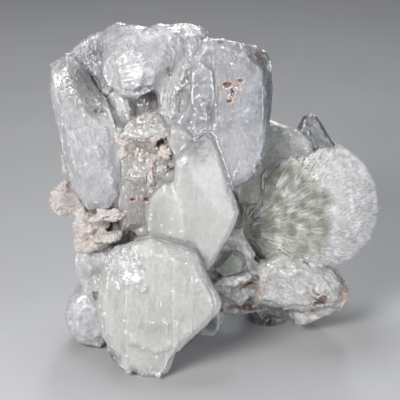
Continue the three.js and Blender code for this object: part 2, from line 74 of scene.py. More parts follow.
def tint(red, green, blue):
    """A colour as it looks on a screen, 0 to 255, in the linear values that a shader takes. The numbers are
    those of the usual screen curve."""

    def linear(share):
        return share / 12.92 if share <= 0.04045 else ((share + 0.055) / 1.055) ** 2.4

    return (*(linear(value / 255) for value in (red, green, blue)), 1.0)


def leaning(right):
    """The turn that brings a crystal's long axis upright: it leans right by these degrees."""
    return Vector((0.0, -math.radians(right), 0.0))


UPRIGHT = (0.0, 0.0, 0.0)  # the turn of a crystal whose long axis is already upright

# Tints, as on a screen
BROWN = (112, 80, 64)
RUST = (164, 128, 112)
PINK = (168, 146, 138)
SUGAR = (214, 215, 217)
SUGAR_SHADE = (188, 189, 191)
# the white of the pale hairs, and of the edges, which are partly worn and partly a painted highlight
HAIR_WEAR_AND_HIGHLIGHT_WHITE = (240, 241, 242)
# painted shade: the brownish grey that darkens the stone's hollows
CREASE_SHADE = (120, 112, 104)
CRACK = (112, 82, 66)


# Node trees

MIDDLE = 0.5  # of the values from 0 to 1 that noise and chance give
NOISE_GAIN = 3.0  # noise stays near its middle, and this brings it to about -1 to 1
HAZE_LOW, HAZE_HIGH = 0.3, 0.7  # the part of the noise that turns from clear to milky



def add(tree, kind, inputs=None, **settings):
    """A new node, with its settings and with its inputs given as values or as sockets to link from."""
    node = tree.nodes.new(kind)
    for name, value in settings.items():
        setattr(node, name, value)
    for socket, value in (inputs or {}).items():
        if isinstance(value, bpy.types.NodeSocket):
            tree.links.new(value, node.inputs[socket])
        else:
            node.inputs[socket].default_value = value
    return node


def math_of(tree, operation, *values):
    """The result socket of a Math node."""
    return add(tree, "ShaderNodeMath", dict(enumerate(values)), operation=operation).outputs[0]


def vector_of(tree, operation, *values):
    """The result socket of a Vector Math node that gives a vector."""
    return add(tree, "ShaderNodeVectorMath", dict(enumerate(values)), operation=operation).outputs[0]


def scaled(tree, vector, factor):
    """A vector times a number, either of which may be a socket."""
    return add(tree, "ShaderNodeVectorMath", {0: vector, "Scale": factor}, operation="SCALE").outputs[0]


def ramp_of(tree, value, low, high, to_low=0.0, to_high=1.0):
    """A value taken smoothly from one range to another, and held at its ends."""
    inputs = {"Value": value, "From Min": low, "From Max": high, "To Min": to_low, "To Max": to_high}
    return add(tree, "ShaderNodeMapRange", inputs, interpolation_type="SMOOTHSTEP").outputs["Result"]


def mix_of(tree, factor, first, second, blend="MIX"):
    """A mix of two colours."""
    node = add(tree, "ShaderNodeMix", data_type="RGBA", blend_type=blend)
    for socket, value in ((0, factor), (6, first), (7, second)):
        if isinstance(value, bpy.types.NodeSocket):
            tree.links.new(value, node.inputs[socket])
        else:
            node.inputs[socket].default_value = value
    return node.outputs[2]


def new_group(name, kind, inputs, outputs):
    """An empty node group with named sockets, and its input and output nodes."""
    tree = bpy.data.node_groups.new(name, kind)
    for label, socket, default in inputs:
        made = tree.interface.new_socket(label, in_out="INPUT", socket_type="NodeSocket" + socket)
        if default is not None:
            made.default_value = default
    for label, socket in outputs:
        tree.interface.new_socket(label, in_out="OUTPUT", socket_type="NodeSocket" + socket)
    return tree, tree.nodes.new("NodeGroupInput"), tree.nodes.new("NodeGroupOutput")


def shared_group(name, kind, build):
    """The node group of that name and kind, built the first time that it is asked for."""
    full_name = f"{name} in {'shader' if kind == 'ShaderNodeTree' else 'relief'}"
    return bpy.data.node_groups.get(full_name) or build(full_name, kind)


def placed_group(tree, name, build, **values):
    """A node that holds a shared group, with its inputs set by their labels in lower case."""
    shading = tree.bl_idname == "ShaderNodeTree"
    node = tree.nodes.new("ShaderNodeGroup" if shading else "GeometryNodeGroup")
    node.node_tree = shared_group(name, tree.bl_idname, build)
    for label, value in values.items():
        socket = node.inputs[label.capitalize()]
        if isinstance(value, bpy.types.NodeSocket):
            tree.links.new(value, socket)
        else:
            socket.default_value = value
    return node


def drawn_out(tree, inputs):
    """A group's Place in steps of its Width across the crystal and of its Run along it."""
    turned = add(
        tree,
        "ShaderNodeVectorRotate",
        {"Vector": inputs.outputs["Place"], "Rotation": inputs.outputs["Turn"]},
        rotation_type="EULER_XYZ",
    ).outputs[0]
    across = math_of(tree, "DIVIDE", 1.0, inputs.outputs["Width"])
    along = math_of(tree, "DIVIDE", 1.0, inputs.outputs["Run"])
    stretch = add(tree, "ShaderNodeCombineXYZ", {"X": across, "Y": across, "Z": along}).outputs[0]
    shift = add(tree, "ShaderNodeCombineXYZ", {"X": inputs.outputs["Seed"]}).outputs[0]
    return vector_of(tree, "ADD", vector_of(tree, "MULTIPLY", turned, stretch), shift)


# The inputs that drawn_out reads
DRAWN_OUT = [("Place", "Vector", None), ("Turn", "Vector", None), ("Width", "Float", 0.001),
             ("Run", "Float", 0.01),
             ("Seed", "Float", 0.0)]


def build_lines(name, kind):
    """Growth lines: noise that is drawn out along the crystal, from about -1 to 1."""
    tree, inputs, outputs = new_group(name, kind, [*DRAWN_OUT, ("Detail", "Float", 3.0)],
                                      [("Lines", "Float")])
    spread = drawn_out(tree, inputs)
    settings = {"Vector": spread, "Scale": 1.0, "Detail": inputs.outputs["Detail"], "Roughness": 0.6}
    noise = add(tree, "ShaderNodeTexNoise", settings).outputs[0]
    value = math_of(tree, "MULTIPLY", math_of(tree, "SUBTRACT", noise, MIDDLE), NOISE_GAIN)
    tree.links.new(value, outputs.inputs["Lines"])
    return tree


def build_facets(name, kind):
    """A patchwork of flat growth faces, each with its own tilt, sloping height and chance from 0 to 1."""
    ends = [("Height", "Float"), ("Chance", "Float"), ("Tilt", "Vector")]
    tree, inputs, outputs = new_group(name, kind, DRAWN_OUT, ends)
    spread = drawn_out(tree, inputs)
    cells = add(tree, "ShaderNodeTexVoronoi", {"Vector": spread, "Scale": 1.0}, feature="F1")
    centred = vector_of(tree, "SUBTRACT", cells.outputs["Color"], (0.5, 0.5, 0.5))
    offset = vector_of(tree, "SUBTRACT", spread, cells.outputs["Position"])
    slope = add(tree, "ShaderNodeVectorMath", {0: centred, 1: offset},
                operation="DOT_PRODUCT").outputs["Value"]
    parts = add(tree, "ShaderNodeSeparateXYZ", {0: cells.outputs["Color"]})
    tree.links.new(math_of(tree, "MULTIPLY", slope, 2.0), outputs.inputs["Height"])
    tree.links.new(parts.outputs["X"], outputs.inputs["Chance"])
    tree.links.new(scaled(tree, centred, 2.0), outputs.inputs["Tilt"])
    return tree


def build_rays(name, kind):
    """Lines that fan out from a root, as needles do, from about -1 to 1."""
    tree, inputs, outputs = new_group(
        name,
        kind,
        [("Place", "Vector", None), ("Root", "Vector", None), ("Fineness", "Float", 25.0),
         ("Run", "Float", 0.004),
         ("Seed", "Float", 0.0)],
        [("Rays", "Float")],
    )
    offset = vector_of(tree, "SUBTRACT", inputs.outputs["Place"], inputs.outputs["Root"])
    distance = add(tree, "ShaderNodeVectorMath", {0: offset}, operation="LENGTH").outputs["Value"]
    factor = math_of(tree, "ADD", inputs.outputs["Fineness"],
                     math_of(tree, "DIVIDE", distance, inputs.outputs["Run"]))
    spread = scaled(tree, vector_of(tree, "NORMALIZE", offset), factor)
    shift = add(tree, "ShaderNodeCombineXYZ", {"X": inputs.outputs["Seed"]}).outputs[0]
    noise = add(
        tree,
        "ShaderNodeTexNoise",
        {"Vector": vector_of(tree, "ADD", spread, shift), "Scale": 1.0, "Detail": 2.0, "Roughness": 0.6},
    ).outputs[0]
    value = math_of(tree, "MULTIPLY", math_of(tree, "SUBTRACT", noise, MIDDLE), NOISE_GAIN)
    tree.links.new(value, outputs.inputs["Rays"])
    return tree


def build_spot(name, kind):
    """A soft-edged, ragged spot round a place: 1 in its middle and 0 past its reach."""
    tree, inputs, outputs = new_group(
        name,
        kind,
        [("Place", "Vector", None), ("Middle", "Vector", None), ("Reach", "Vector", None),
         ("Ragged", "Float", 0.3),
         ("Grain", "Float", 0.001), ("Softness", "Float", 0.6)],
        [("Spot", "Float")],
    )
    offset = vector_of(tree, "SUBTRACT", inputs.outputs["Place"], inputs.outputs["Middle"])
    share = vector_of(tree, "DIVIDE", offset, inputs.outputs["Reach"])
    distance = add(tree, "ShaderNodeVectorMath", {0: share}, operation="LENGTH").outputs["Value"]
    fine = scaled(tree, inputs.outputs["Place"], math_of(tree, "DIVIDE", 1.0, inputs.outputs["Grain"]))
    noise = add(tree, "ShaderNodeTexNoise", {"Vector": fine, "Scale": 1.0, "Detail": 3.0}).outputs[0]
    wander = math_of(tree, "MULTIPLY", math_of(tree, "SUBTRACT", noise, MIDDLE), inputs.outputs["Ragged"])
    rough_distance = math_of(tree, "ADD", distance, math_of(tree, "MULTIPLY", wander, NOISE_GAIN))
    start = math_of(tree, "SUBTRACT", 1.0, inputs.outputs["Softness"])
    tree.links.new(ramp_of(tree, rough_distance, start, 1.0, 1.0, 0.0), outputs.inputs["Spot"])
    return tree


def build_haze(name, kind):
    """Cloudy patches: milky stone between clearer stone."""
    tree, inputs, outputs = new_group(
        name,
        kind,
        [("Place", "Vector", None), ("Size", "Float", 0.004), ("Seed", "Float", 0.0)],
        [("Haze", "Float")],
    )
    fine = scaled(tree, inputs.outputs["Place"], math_of(tree, "DIVIDE", 1.0, inputs.outputs["Size"]))
    shift = add(tree, "ShaderNodeCombineXYZ", {"Y": inputs.outputs["Seed"]}).outputs[0]
    noise = add(
        tree,
        "ShaderNodeTexNoise",
        {"Vector": vector_of(tree, "ADD", fine, shift), "Scale": 1.0, "Detail": 5.0, "Roughness": 0.55,
         "Distortion": 0.4},
    ).outputs[0]
    tree.links.new(ramp_of(tree, noise, HAZE_LOW, HAZE_HIGH), outputs.inputs["Haze"])
    return tree


# Modelling

PLATE_SIDE, PLATE_BEVEL = 0.7, 0.3  # the parts of a plate's thickness
CLOSING_GRAIN = 1.3  # how much coarser the skin is that closes the clefts
CLOSING_RETURN = 0.95  # how much of the closing is taken back again
WEAR = 0.5  # how strongly smoothing wears an edge


def select_only(*objects):
    """Selects these objects and no others, and makes the first one active."""
    bpy.ops.object.select_all(action="DESELECT")
    for piece in objects:
        piece.select_set(True)
    bpy.context.view_layer.objects.active = objects[0]


def finish_with(piece, kind, **settings):
    """Puts a modifier on a piece and applies it."""
    modifier = piece.modifiers.new(kind.title(), kind)
    for name, value in settings.items():
        setattr(modifier, name, value)
    select_only(piece)
    bpy.ops.object.modifier_apply(modifier=modifier.name)
    return piece


def grown_from(node, name):
    """A copy of one of the frame's solids, with its loose triangles merged, as the start of a piece."""
    piece = bpy.data.objects.new(name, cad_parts[node].data.copy())
    bpy.context.collection.objects.link(piece)
    piece.data.materials.clear()
    select_only(piece)
    bpy.ops.object.mode_set(mode="EDIT")
    bpy.ops.mesh.select_all(action="SELECT")
    bpy.ops.mesh.remove_doubles(threshold=MERGE)
    bpy.ops.object.mode_set(mode="OBJECT")
    return piece


def plate(outline, y, thick, face=0.88, yaw=0.0, pitch=0.0):
    """A flat-faced growth. Its outline is drawn from the front in x and z, and bevels in to a face at y."""
    bpy.ops.object.select_all(action="DESELECT")
    bpy.ops.mesh.primitive_circle_add(vertices=len(outline), fill_type="NGON")
    piece = bpy.context.active_object
    middle = [(min(c[k] for c in outline) + max(c[k] for c in outline)) / 2 for k in (0, 1)]
    for corner, (x, z) in zip(piece.data.vertices, outline):
        corner.co = at(x - middle[0], thick, z - middle[1])
    bpy.ops.object.mode_set(mode="EDIT")
    bpy.ops.mesh.select_all(action="SELECT")
    bpy.ops.mesh.extrude_region_move(TRANSFORM_OT_translate={"value": at(0, -thick * PLATE_SIDE, 0)})
    bpy.ops.mesh.extrude_region_move(TRANSFORM_OT_translate={"value": at(0, -thick * PLATE_BEVEL, 0)})
    bpy.ops.transform.resize(value=(face, 1.0, face))
    bpy.ops.mesh.select_all(action="SELECT")
    bpy.ops.mesh.normals_make_consistent(inside=False)
    bpy.ops.object.mode_set(mode="OBJECT")
    turn = Euler((math.radians(pitch), 0.0, math.radians(yaw)), "ZYX").to_matrix().to_4x4()
    piece.data.transform(Matrix.Translation(at(middle[0], y, middle[1])) @ turn)
    return piece


def knob(middle, size, subdivisions=2):
    """A rounded knob, with its middle and its half sizes in millimetres."""
    bpy.ops.object.select_all(action="DESELECT")
    bpy.ops.mesh.primitive_ico_sphere_add(subdivisions=subdivisions, radius=1.0)
    piece = bpy.context.active_object
    piece.data.transform(Matrix.Translation(at(*middle)) @ Matrix.Diagonal((*at(*size), 1.0)))
    return piece


def joined(piece, extras):
    """Joins some growths to a piece."""
    if extras:
        select_only(piece, *extras)
        bpy.ops.object.join()
    return piece


def skinned(piece, grain, fill=0.0, extras=(), grow=SEAM_CLOSING):
    """Turns overlapping growths into one closed skin, with edges a little worn. fill, in millimetres, first
    closes the clefts that are narrower than about twice that."""
    joined(piece, extras)
    if fill:
        finish_with(piece, "DISPLACE", strength=fill * MM, mid_level=0.0)
        finish_with(piece, "REMESH", mode="VOXEL", voxel_size=grain * CLOSING_GRAIN, adaptivity=0.0)
        finish_with(piece, "SMOOTH", factor=WEAR, iterations=2)
        finish_with(piece, "DISPLACE", strength=-fill * CLOSING_RETURN * MM, mid_level=0.0)
    finish_with(piece, "DISPLACE", strength=grow, mid_level=0.0)
    finish_with(piece, "REMESH", mode="VOXEL", voxel_size=grain, adaptivity=0.0)
    finish_with(piece, "SMOOTH", factor=WEAR, iterations=1)
    select_only(piece)
    bpy.ops.object.shade_smooth()
    return piece


def lines(turn, width, run, depth, seed):
    """An effect for carve: growth lines. Sizes are in millimetres."""

    def height(tree, place):
        node = placed_group(tree, "lines", build_lines, place=place, turn=Vector(turn), width=width * MM,
                            run=run * MM, seed=seed)
        return math_of(tree, "MULTIPLY", node.outputs[0], depth * MM)

    return height


def swells(size, depth, seed):
    """An effect for carve: uneven swells and hollows that are as long as they are wide."""
    return lines(UPRIGHT, width=size, run=size, depth=depth, seed=seed)


def facets(turn, width, run, depth, step, seed):
    """An effect for carve: flat growth faces that slope by depth and stand at levels up to a step apart."""

    def height(tree, place):
        node = placed_group(tree, "facets", build_facets, place=place, turn=Vector(turn), width=width * MM,
                            run=run * MM, seed=seed)
        slope = math_of(tree, "MULTIPLY", node.outputs["Height"], depth * MM)
        level = math_of(tree, "MULTIPLY", math_of(tree, "SUBTRACT", node.outputs["Chance"], MIDDLE),
                        step * MM)
        return math_of(tree, "ADD", slope, level)

    return height


def dent(middle, reach, depth, ragged=0.3, grain=1.0, softness=0.6):
    """An effect for carve: a hollow round a place, or a rise where the depth is negative."""

    def height(tree, place):
        node = placed_group(tree, "spot", build_spot, place=place, middle=at(*middle), reach=at(*reach),
                            ragged=ragged, grain=grain * MM, softness=softness)
        return math_of(tree, "MULTIPLY", node.outputs[0], -depth * MM)

    return height


def only_near(effect, middle, reach):
    """An effect that is kept to the neighbourhood of a place."""

    def height(tree, place):
        node = placed_group(tree, "spot", build_spot, place=place, middle=at(*middle), reach=at(*reach),
                            ragged=0.2, grain=2.0 * MM, softness=0.7)
        return math_of(tree, "MULTIPLY", node.outputs[0], effect(tree, place))

    return height


def carve(piece, *effects):
    """Moves a piece's surface along its normals by the sum of the effects, and keeps it above the floor."""
    ends = [("Geometry", "Geometry", None)], [("Geometry", "Geometry")]
    tree, inputs, outputs = new_group(piece.name + " relief", "GeometryNodeTree", *ends)
    place = add(tree, "GeometryNodeInputPosition").outputs[0]
    normal = add(tree, "GeometryNodeInputNormal").outputs[0]
    total = 0.0
    for effect in effects:
        total = math_of(tree, "ADD", total, effect(tree, place))
    moved = vector_of(tree, "ADD", place, scaled(tree, normal, total))
    parts = add(tree, "ShaderNodeSeparateXYZ", {0: moved})
    height = math_of(tree, "MAXIMUM", parts.outputs["Z"], 0.0)
    held = add(tree, "ShaderNodeCombineXYZ",
               {"X": parts.outputs["X"], "Y": parts.outputs["Y"], "Z": height})
    setter = add(tree, "GeometryNodeSetPosition",
                 {"Geometry": inputs.outputs[0], "Position": held.outputs[0]})
    tree.links.new(setter.outputs[0], outputs.inputs[0])
    finish_with(piece, "NODES", node_group=tree)
    bpy.data.node_groups.remove(tree)
    return piece


def pressed_back(piece, start, end, reach, depth, fade=1):
    """Presses the front of a piece back by up to depth along a line that is given in x and z. The press
    thins out to nothing at its reach, and a higher fade makes it leave off more gently."""
    start, end = Vector(start) * MM, Vector(end) * MM
    along = end - start
    for corner in piece.data.vertices:
        spot = Vector((corner.co.x, corner.co.z)) - start
        share = min(max(spot.dot(along) / max(along.length_squared, MERGE * MERGE), 0.0), 1.0)
        away = (spot - along * share).length / (reach * MM)
        if away < 1 and corner.co.y < 0:
            corner.co.y += depth * MM * (1 - away * away) ** fade
    return piece


def settle(piece, material, slot, *nodes):
    """Gives a finished piece its material and its place in the frame. slot is not used."""
    piece.data.materials.clear()
    piece.data.materials.append(material)
    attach(piece, "root")
    if nodes:
        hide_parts(*nodes)
    return piece


def grow_crystal(node, finish, slot, grain, relief, fill, extras=()):
    """A stone piece that stands for one of the frame's solids: its skin, relief, finish and place."""
    piece = grown_from(node, node + "_stone")
    skinned(piece, grain, fill, extras)
    carve(piece, *relief)
    return settle(piece, finish, slot, node)


# Finishes

BROAD_SPOT = 2.9  # any spot that reaches farther than this, in millimetres, has a soft edge: real stain and painted light alike
SOFT_EDGE = {"ragged": 0.2, "grain": 3 * MM, "softness": 1.0}
CRISP_EDGE = {"ragged": 0.35, "grain": 1.2 * MM, "softness": 0.75}

# The stone's patterns. Widths and runs are in millimetres
STREAK_WIDTH = 0.26
STREAK_RUN = 14  # a streak is this many times longer than wide
FACE_RUN = 6  # a small face is this many times longer than wide
BAND_WIDTH, BAND_RUN = 1.3, 16
WISP_SIZE = 0.25  # wisps against clouds
CLOUD_SHARE, WISP_SHARE = 0.6, 0.4
HAIR_LOW, HAIR_HIGH = 0.35, 0.8  # the streaks that show as pale hairs
CREASE_SHADE_LOW, CREASE_SHADE_HIGH = 0.36, 0.47  # pointiness of the hollows that are painted darker as shade, where 0.5 is flat
CREASE_SHADE_SHARE = 0.2
CRACK_LOW, CRACK_HIGH, CRACK_SHARE = 0.36, 0.48, 0.85  # the same for the crust
EDGE_WEAR_AND_HIGHLIGHT_LOW, EDGE_WEAR_AND_HIGHLIGHT_HIGH = 0.51, 0.56  # pointiness of the edges that are whitened, partly as wear and partly as a painted highlight
CLEAR_WEAR_AND_HIGHLIGHT_LOW, CLEAR_WEAR_AND_HIGHLIGHT_HIGH = 0.505, 0.55  # the same for the clear crystal
CLEAR_FACE, CLEAR_EDGE = 0.08, 0.6  # roughness of the clear crystal
LUSTRE, MIRROR = 0.22, 0.1  # roughness of a common face, and of one that shines
MIRROR_LEAN = 0.35  # how much farther a shining face leans
WISP_BUMP = 1.5  # against the streaks' bump
CRUST_LEAN = 0.3  # how far the crust's small faces lean


def new_material(name, **shader):
    """A material with a Principled shader whose plain values are set on its own sockets."""
    material = bpy.data.materials.new(name)
    material.use_nodes = True
    tree = material.node_tree
    bsdf = tree.nodes["Principled BSDF"]
    for label, value in shader.items():
        bsdf.inputs[label.replace("_", " ").title().replace("Ior", "IOR")].default_value = value
    place = add(tree, "ShaderNodeTexCoord").outputs["Object"]
    return material, tree, bsdf, place


def with_stains_and_painted_light(tree, colour, place, stains_and_painted_light):
    """Lays each spot over a colour, a real stain and painted light and shade alike: a middle, a reach, a
    tint and a strength.
    """
    for middle, reach, shade, strength in stains_and_painted_light:
        border = SOFT_EDGE if min(reach) > BROAD_SPOT else CRISP_EDGE
        node = placed_group(tree, "spot", build_spot, place=place, middle=at(*middle), reach=at(*reach),
                            **border)
        colour = mix_of(tree, math_of(tree, "MULTIPLY", node.outputs[0], strength), colour, tint(*shade))
    return colour


def stilbite(name, milky, clear, scatter, seed, turn=UPRIGHT, haze=4.0, streak=0.05, stains_and_painted_light=(), edge=0.75,
             bump=0.35, shine=0.05, tilt=0.1, see_through=0.0, hairs=0.4):
    """Milky, pearly stone under a thin gloss: clouds, growth lines along the crystal, spots of stain,
    painted light and painted shade, painted shade in the hollows, pale edges that are partly worn and
    partly a painted highlight, and small faces of which a few shine. shine is the share of them that do,
    and tilt how far all of them lean. edge, hairs and streak say how strongly the whitened edges, the pale
    hairs and the lines show."""
    material, tree, bsdf, place = new_material(
        name,
        subsurface_weight=1.0,
        subsurface_radius=(1.0, 1.0, 1.0),
        subsurface_scale=scatter * MM,
        specular_ior_level=0.8,
        transmission_weight=see_through,
        ior=1.5,
        coat_weight=0.5,
        coat_roughness=0.07,
    )
    turn = Vector(turn)
    cloud = placed_group(tree, "haze", build_haze, place=place, size=haze * MM, seed=seed).outputs[0]
    wisps = placed_group(tree, "haze", build_haze, place=place, size=haze * WISP_SIZE * MM,
                         seed=seed + 9.0).outputs[0]
    patchy = math_of(tree, "ADD", math_of(tree, "MULTIPLY", cloud, CLOUD_SHARE),
                     math_of(tree, "MULTIPLY", wisps, WISP_SHARE))
    colour = mix_of(tree, patchy, clear, milky)
    streaks = placed_group(tree, "lines", build_lines, place=place, turn=turn, width=STREAK_WIDTH * MM,
                           run=STREAK_WIDTH * STREAK_RUN * MM, seed=seed + 3.0).outputs[0]
    bands = placed_group(tree, "lines", build_lines, place=place, turn=turn, width=BAND_WIDTH * MM,
                         run=BAND_RUN * MM, seed=seed + 5.0, detail=2.0).outputs[0]
    both = math_of(tree, "ADD", streaks, bands)
    light = math_of(tree, "ADD", 1.0, math_of(tree, "MULTIPLY", both, streak))
    grey = add(tree, "ShaderNodeCombineXYZ", {"X": light, "Y": light, "Z": light}).outputs[0]
    colour = mix_of(tree, 1.0, colour, grey, "MULTIPLY")
    colour = with_stains_and_painted_light(tree, colour, place, stains_and_painted_light)
    colour = mix_of(tree, ramp_of(tree, streaks, HAIR_LOW, HAIR_HIGH, 0.0, hairs), colour, tint(*HAIR_WEAR_AND_HIGHLIGHT_WHITE))
    pointed = add(tree, "ShaderNodeNewGeometry").outputs["Pointiness"]
    # Painted shade: the hollows are darkened towards a brownish grey.
    hollow = ramp_of(tree, pointed, CREASE_SHADE_LOW, CREASE_SHADE_HIGH, CREASE_SHADE_SHARE, 0.0)
    colour = mix_of(tree, hollow, colour, tint(*CREASE_SHADE))
    # The convex edges are whitened: partly wear, partly a painted highlight.
    worn = ramp_of(tree, pointed, EDGE_WEAR_AND_HIGHLIGHT_LOW, EDGE_WEAR_AND_HIGHLIGHT_HIGH, 0.0, edge)
    tree.links.new(mix_of(tree, worn, colour, tint(*HAIR_WEAR_AND_HIGHLIGHT_WHITE)), bsdf.inputs["Base Color"])
    faces = placed_group(tree, "facets", build_facets, place=place, turn=turn, width=STREAK_WIDTH * MM,
                         run=STREAK_WIDTH * FACE_RUN * MM, seed=seed)
    shining = math_of(tree, "LESS_THAN", faces.outputs["Chance"], shine)
    rough = ramp_of(tree, shining, 0.0, 1.0, LUSTRE, MIRROR)
    tree.links.new(rough, bsdf.inputs["Roughness"])
    uneven = math_of(tree, "ADD", streaks, math_of(tree, "MULTIPLY", wisps, WISP_BUMP))
    bumped = add(tree, "ShaderNodeBump",
                 {"Strength": bump, "Distance": 0.12 * MM, "Height": uneven}).outputs[0]
    lean = math_of(tree, "ADD", tilt, math_of(tree, "MULTIPLY", shining, MIRROR_LEAN))
    normal = vector_of(tree, "ADD", bumped, scaled(tree, faces.outputs["Tilt"], lean))
    tree.links.new(vector_of(tree, "NORMALIZE", normal), bsdf.inputs["Normal"])
    return material


def crust_stone(name, pale, deep, stains_and_painted_light):
    """Dull pink crust: speckled, and brown in its cracks."""
    material, tree, bsdf, place = new_material(
        name,
        subsurface_weight=0.5,
        subsurface_radius=(1.0, 0.97, 0.95),
        subsurface_scale=0.9 * MM,
        roughness=0.6,
    )
    cloud = placed_group(tree, "haze", build_haze, place=place, size=1.1 * MM, seed=7.0).outputs[0]
    colour = mix_of(tree, cloud, deep, pale)
    pointed = add(tree, "ShaderNodeNewGeometry").outputs["Pointiness"]
    hollow = ramp_of(tree, pointed, CRACK_LOW, CRACK_HIGH, CRACK_SHARE, 0.0)
    colour = mix_of(tree, hollow, colour, tint(*CRACK))
    colour = with_stains_and_painted_light(tree, colour, place, stains_and_painted_light)
    tree.links.new(colour, bsdf.inputs["Base Color"])
    faces = placed_group(tree, "facets", build_facets, place=place, width=0.3 * MM, run=0.3 * MM)
    normal = add(tree, "ShaderNodeNewGeometry").outputs["Normal"]
    turned = vector_of(tree, "ADD", normal, scaled(tree, faces.outputs["Tilt"], CRUST_LEAN))
    tree.links.new(vector_of(tree, "NORMALIZE", turned), bsdf.inputs["Normal"])
    return material


def needle_stone(name, pale, shade):
    """Silky mordenite."""
    material, tree, bsdf, place = new_material(name, roughness=0.3, specular_ior_level=0.8)
    cloud = placed_group(tree, "haze", build_haze, place=place, size=2.4 * MM, seed=2.0).outputs[0]
    tree.links.new(mix_of(tree, cloud, shade, pale), bsdf.inputs["Base Color"])
    return material


def grain_stone(name):
    """Tiny clean crystals that glitter."""
    material, tree, bsdf, place = new_material(
        name,
        subsurface_weight=0.6,
        subsurface_radius=(1.0, 1.0, 1.0),
        subsurface_scale=0.8 * MM,
        roughness=0.1,
        specular_ior_level=0.9,
    )
    cloud = placed_group(tree, "haze", build_haze, place=place, size=1.6 * MM, seed=5.0).outputs[0]
    tree.links.new(mix_of(tree, cloud, tint(*SUGAR_SHADE), tint(*SUGAR)), bsdf.inputs["Base Color"])
    return material


def clear_stone():
    """Clear, faintly green crystal that light passes through, with rougher edges that are painted white,
    partly as wear and partly as a highlight.
    """
    material, tree, bsdf, place = new_material("clear crystal", transmission_weight=0.72, ior=1.5)
    cloud = placed_group(tree, "haze", build_haze, place=place, size=0.8 * MM, seed=3.0).outputs[0]
    pointed = add(tree, "ShaderNodeNewGeometry").outputs["Pointiness"]
    # The edges: rougher, and whitened partly as wear and partly as a painted highlight.
    edge = ramp_of(tree, pointed, CLEAR_WEAR_AND_HIGHLIGHT_LOW, CLEAR_WEAR_AND_HIGHLIGHT_HIGH)
    inside = mix_of(tree, cloud, tint(184, 189, 182), tint(214, 218, 212))
    tree.links.new(mix_of(tree, edge, inside, tint(246, 248, 248)), bsdf.inputs["Base Color"])
    tree.links.new(ramp_of(tree, edge, 0.0, 1.0, CLEAR_FACE, CLEAR_EDGE), bsdf.inputs["Roughness"])
    bumped = add(tree, "ShaderNodeBump", {"Strength": 0.12, "Distance": 0.1 * MM, "Height": cloud})
    tree.links.new(bumped.outputs[0], bsdf.inputs["Normal"])
    return material


def floor_finish(pale, shade):
    """Pale grey paper."""
    material, tree, bsdf, place = new_material("pale floor", roughness=0.9)
    cloud = placed_group(tree, "haze", build_haze, place=place, size=60 * MM, seed=1.0).outputs[0]
    tree.links.new(mix_of(tree, cloud, shade, pale), bsdf.inputs["Base Color"])
    return material


# Needles and grains

SQUARE_MM = 1e6  # in a square metre
SMALLEST, SIZE_RANGE = 0.5, 1.1  # scattered crystals are 0.5 to 1.6 of their size, mostly small
NEEDLE_WIDTH = 0.12  # half of a needle's thickness in a tuft, against the tuft's width
TUFT_FOOT, TUFT_SLANT = 0.35, 0.8  # how wide a tuft stands, and how far its needles lean out
GRAIN_WIDTH = 0.42  # against its length
GRAIN_TOP = 0.7  # against its foot
RUST_RING, BROWN_RING = 1.9, 0.9  # against the hole that they line
RING_DEPTH = 7  # in millimetres, from front to back
CLUMP_LEAST = 0.25  # the chance of felt between its clumps
BUNDLE_HIGH = 0.3  # the height of a ray from which needles stand on it everywhere
SNOW_LENGTH = 1.4  # the snow's tufts against the felt


def seed_crystal(name, sides, waist):
    """One tiny crystal, one unit long, that stands on the origin: pointed where it has a waist of 0."""
    bpy.ops.object.select_all(action="DESELECT")
    bpy.ops.mesh.primitive_cone_add(vertices=sides, radius1=1.0, radius2=waist, depth=1.0,
                                    location=(0, 0, 0.5))
    bpy.context.active_object.name = name
    bpy.ops.object.transform_apply(location=True, rotation=False, scale=False)
    return bpy.context.active_object


def seed_tuft(name, count):
    """A tuft of needles, one unit long, that fans out from the origin to one unit on each side."""
    chance = Random(count)
    bpy.ops.object.select_all(action="DESELECT")
    needles = []
    for _ in range(count):
        turn = chance.uniform(0.0, math.tau)
        reach = math.sqrt(chance.random())
        tall = chance.uniform(0.6, 1.0)
        bpy.ops.mesh.primitive_cone_add(vertices=3, radius1=NEEDLE_WIDTH, radius2=0.0, depth=1.0)
        needle = bpy.context.active_object
        foot = Vector((math.cos(turn), math.sin(turn), 0.0)) * reach * TUFT_FOOT
        lean = Vector((math.cos(turn), math.sin(turn), 0.0)) * reach * TUFT_SLANT * tall
        for corner in needle.data.vertices:
            up = corner.co.z + 0.5
            corner.co = Vector((corner.co.x, corner.co.y, up * tall)) + foot + lean * up
        needles.append(needle)
    tuft = joined(needles[0], needles[1:])
    tuft.name = name
    return tuft


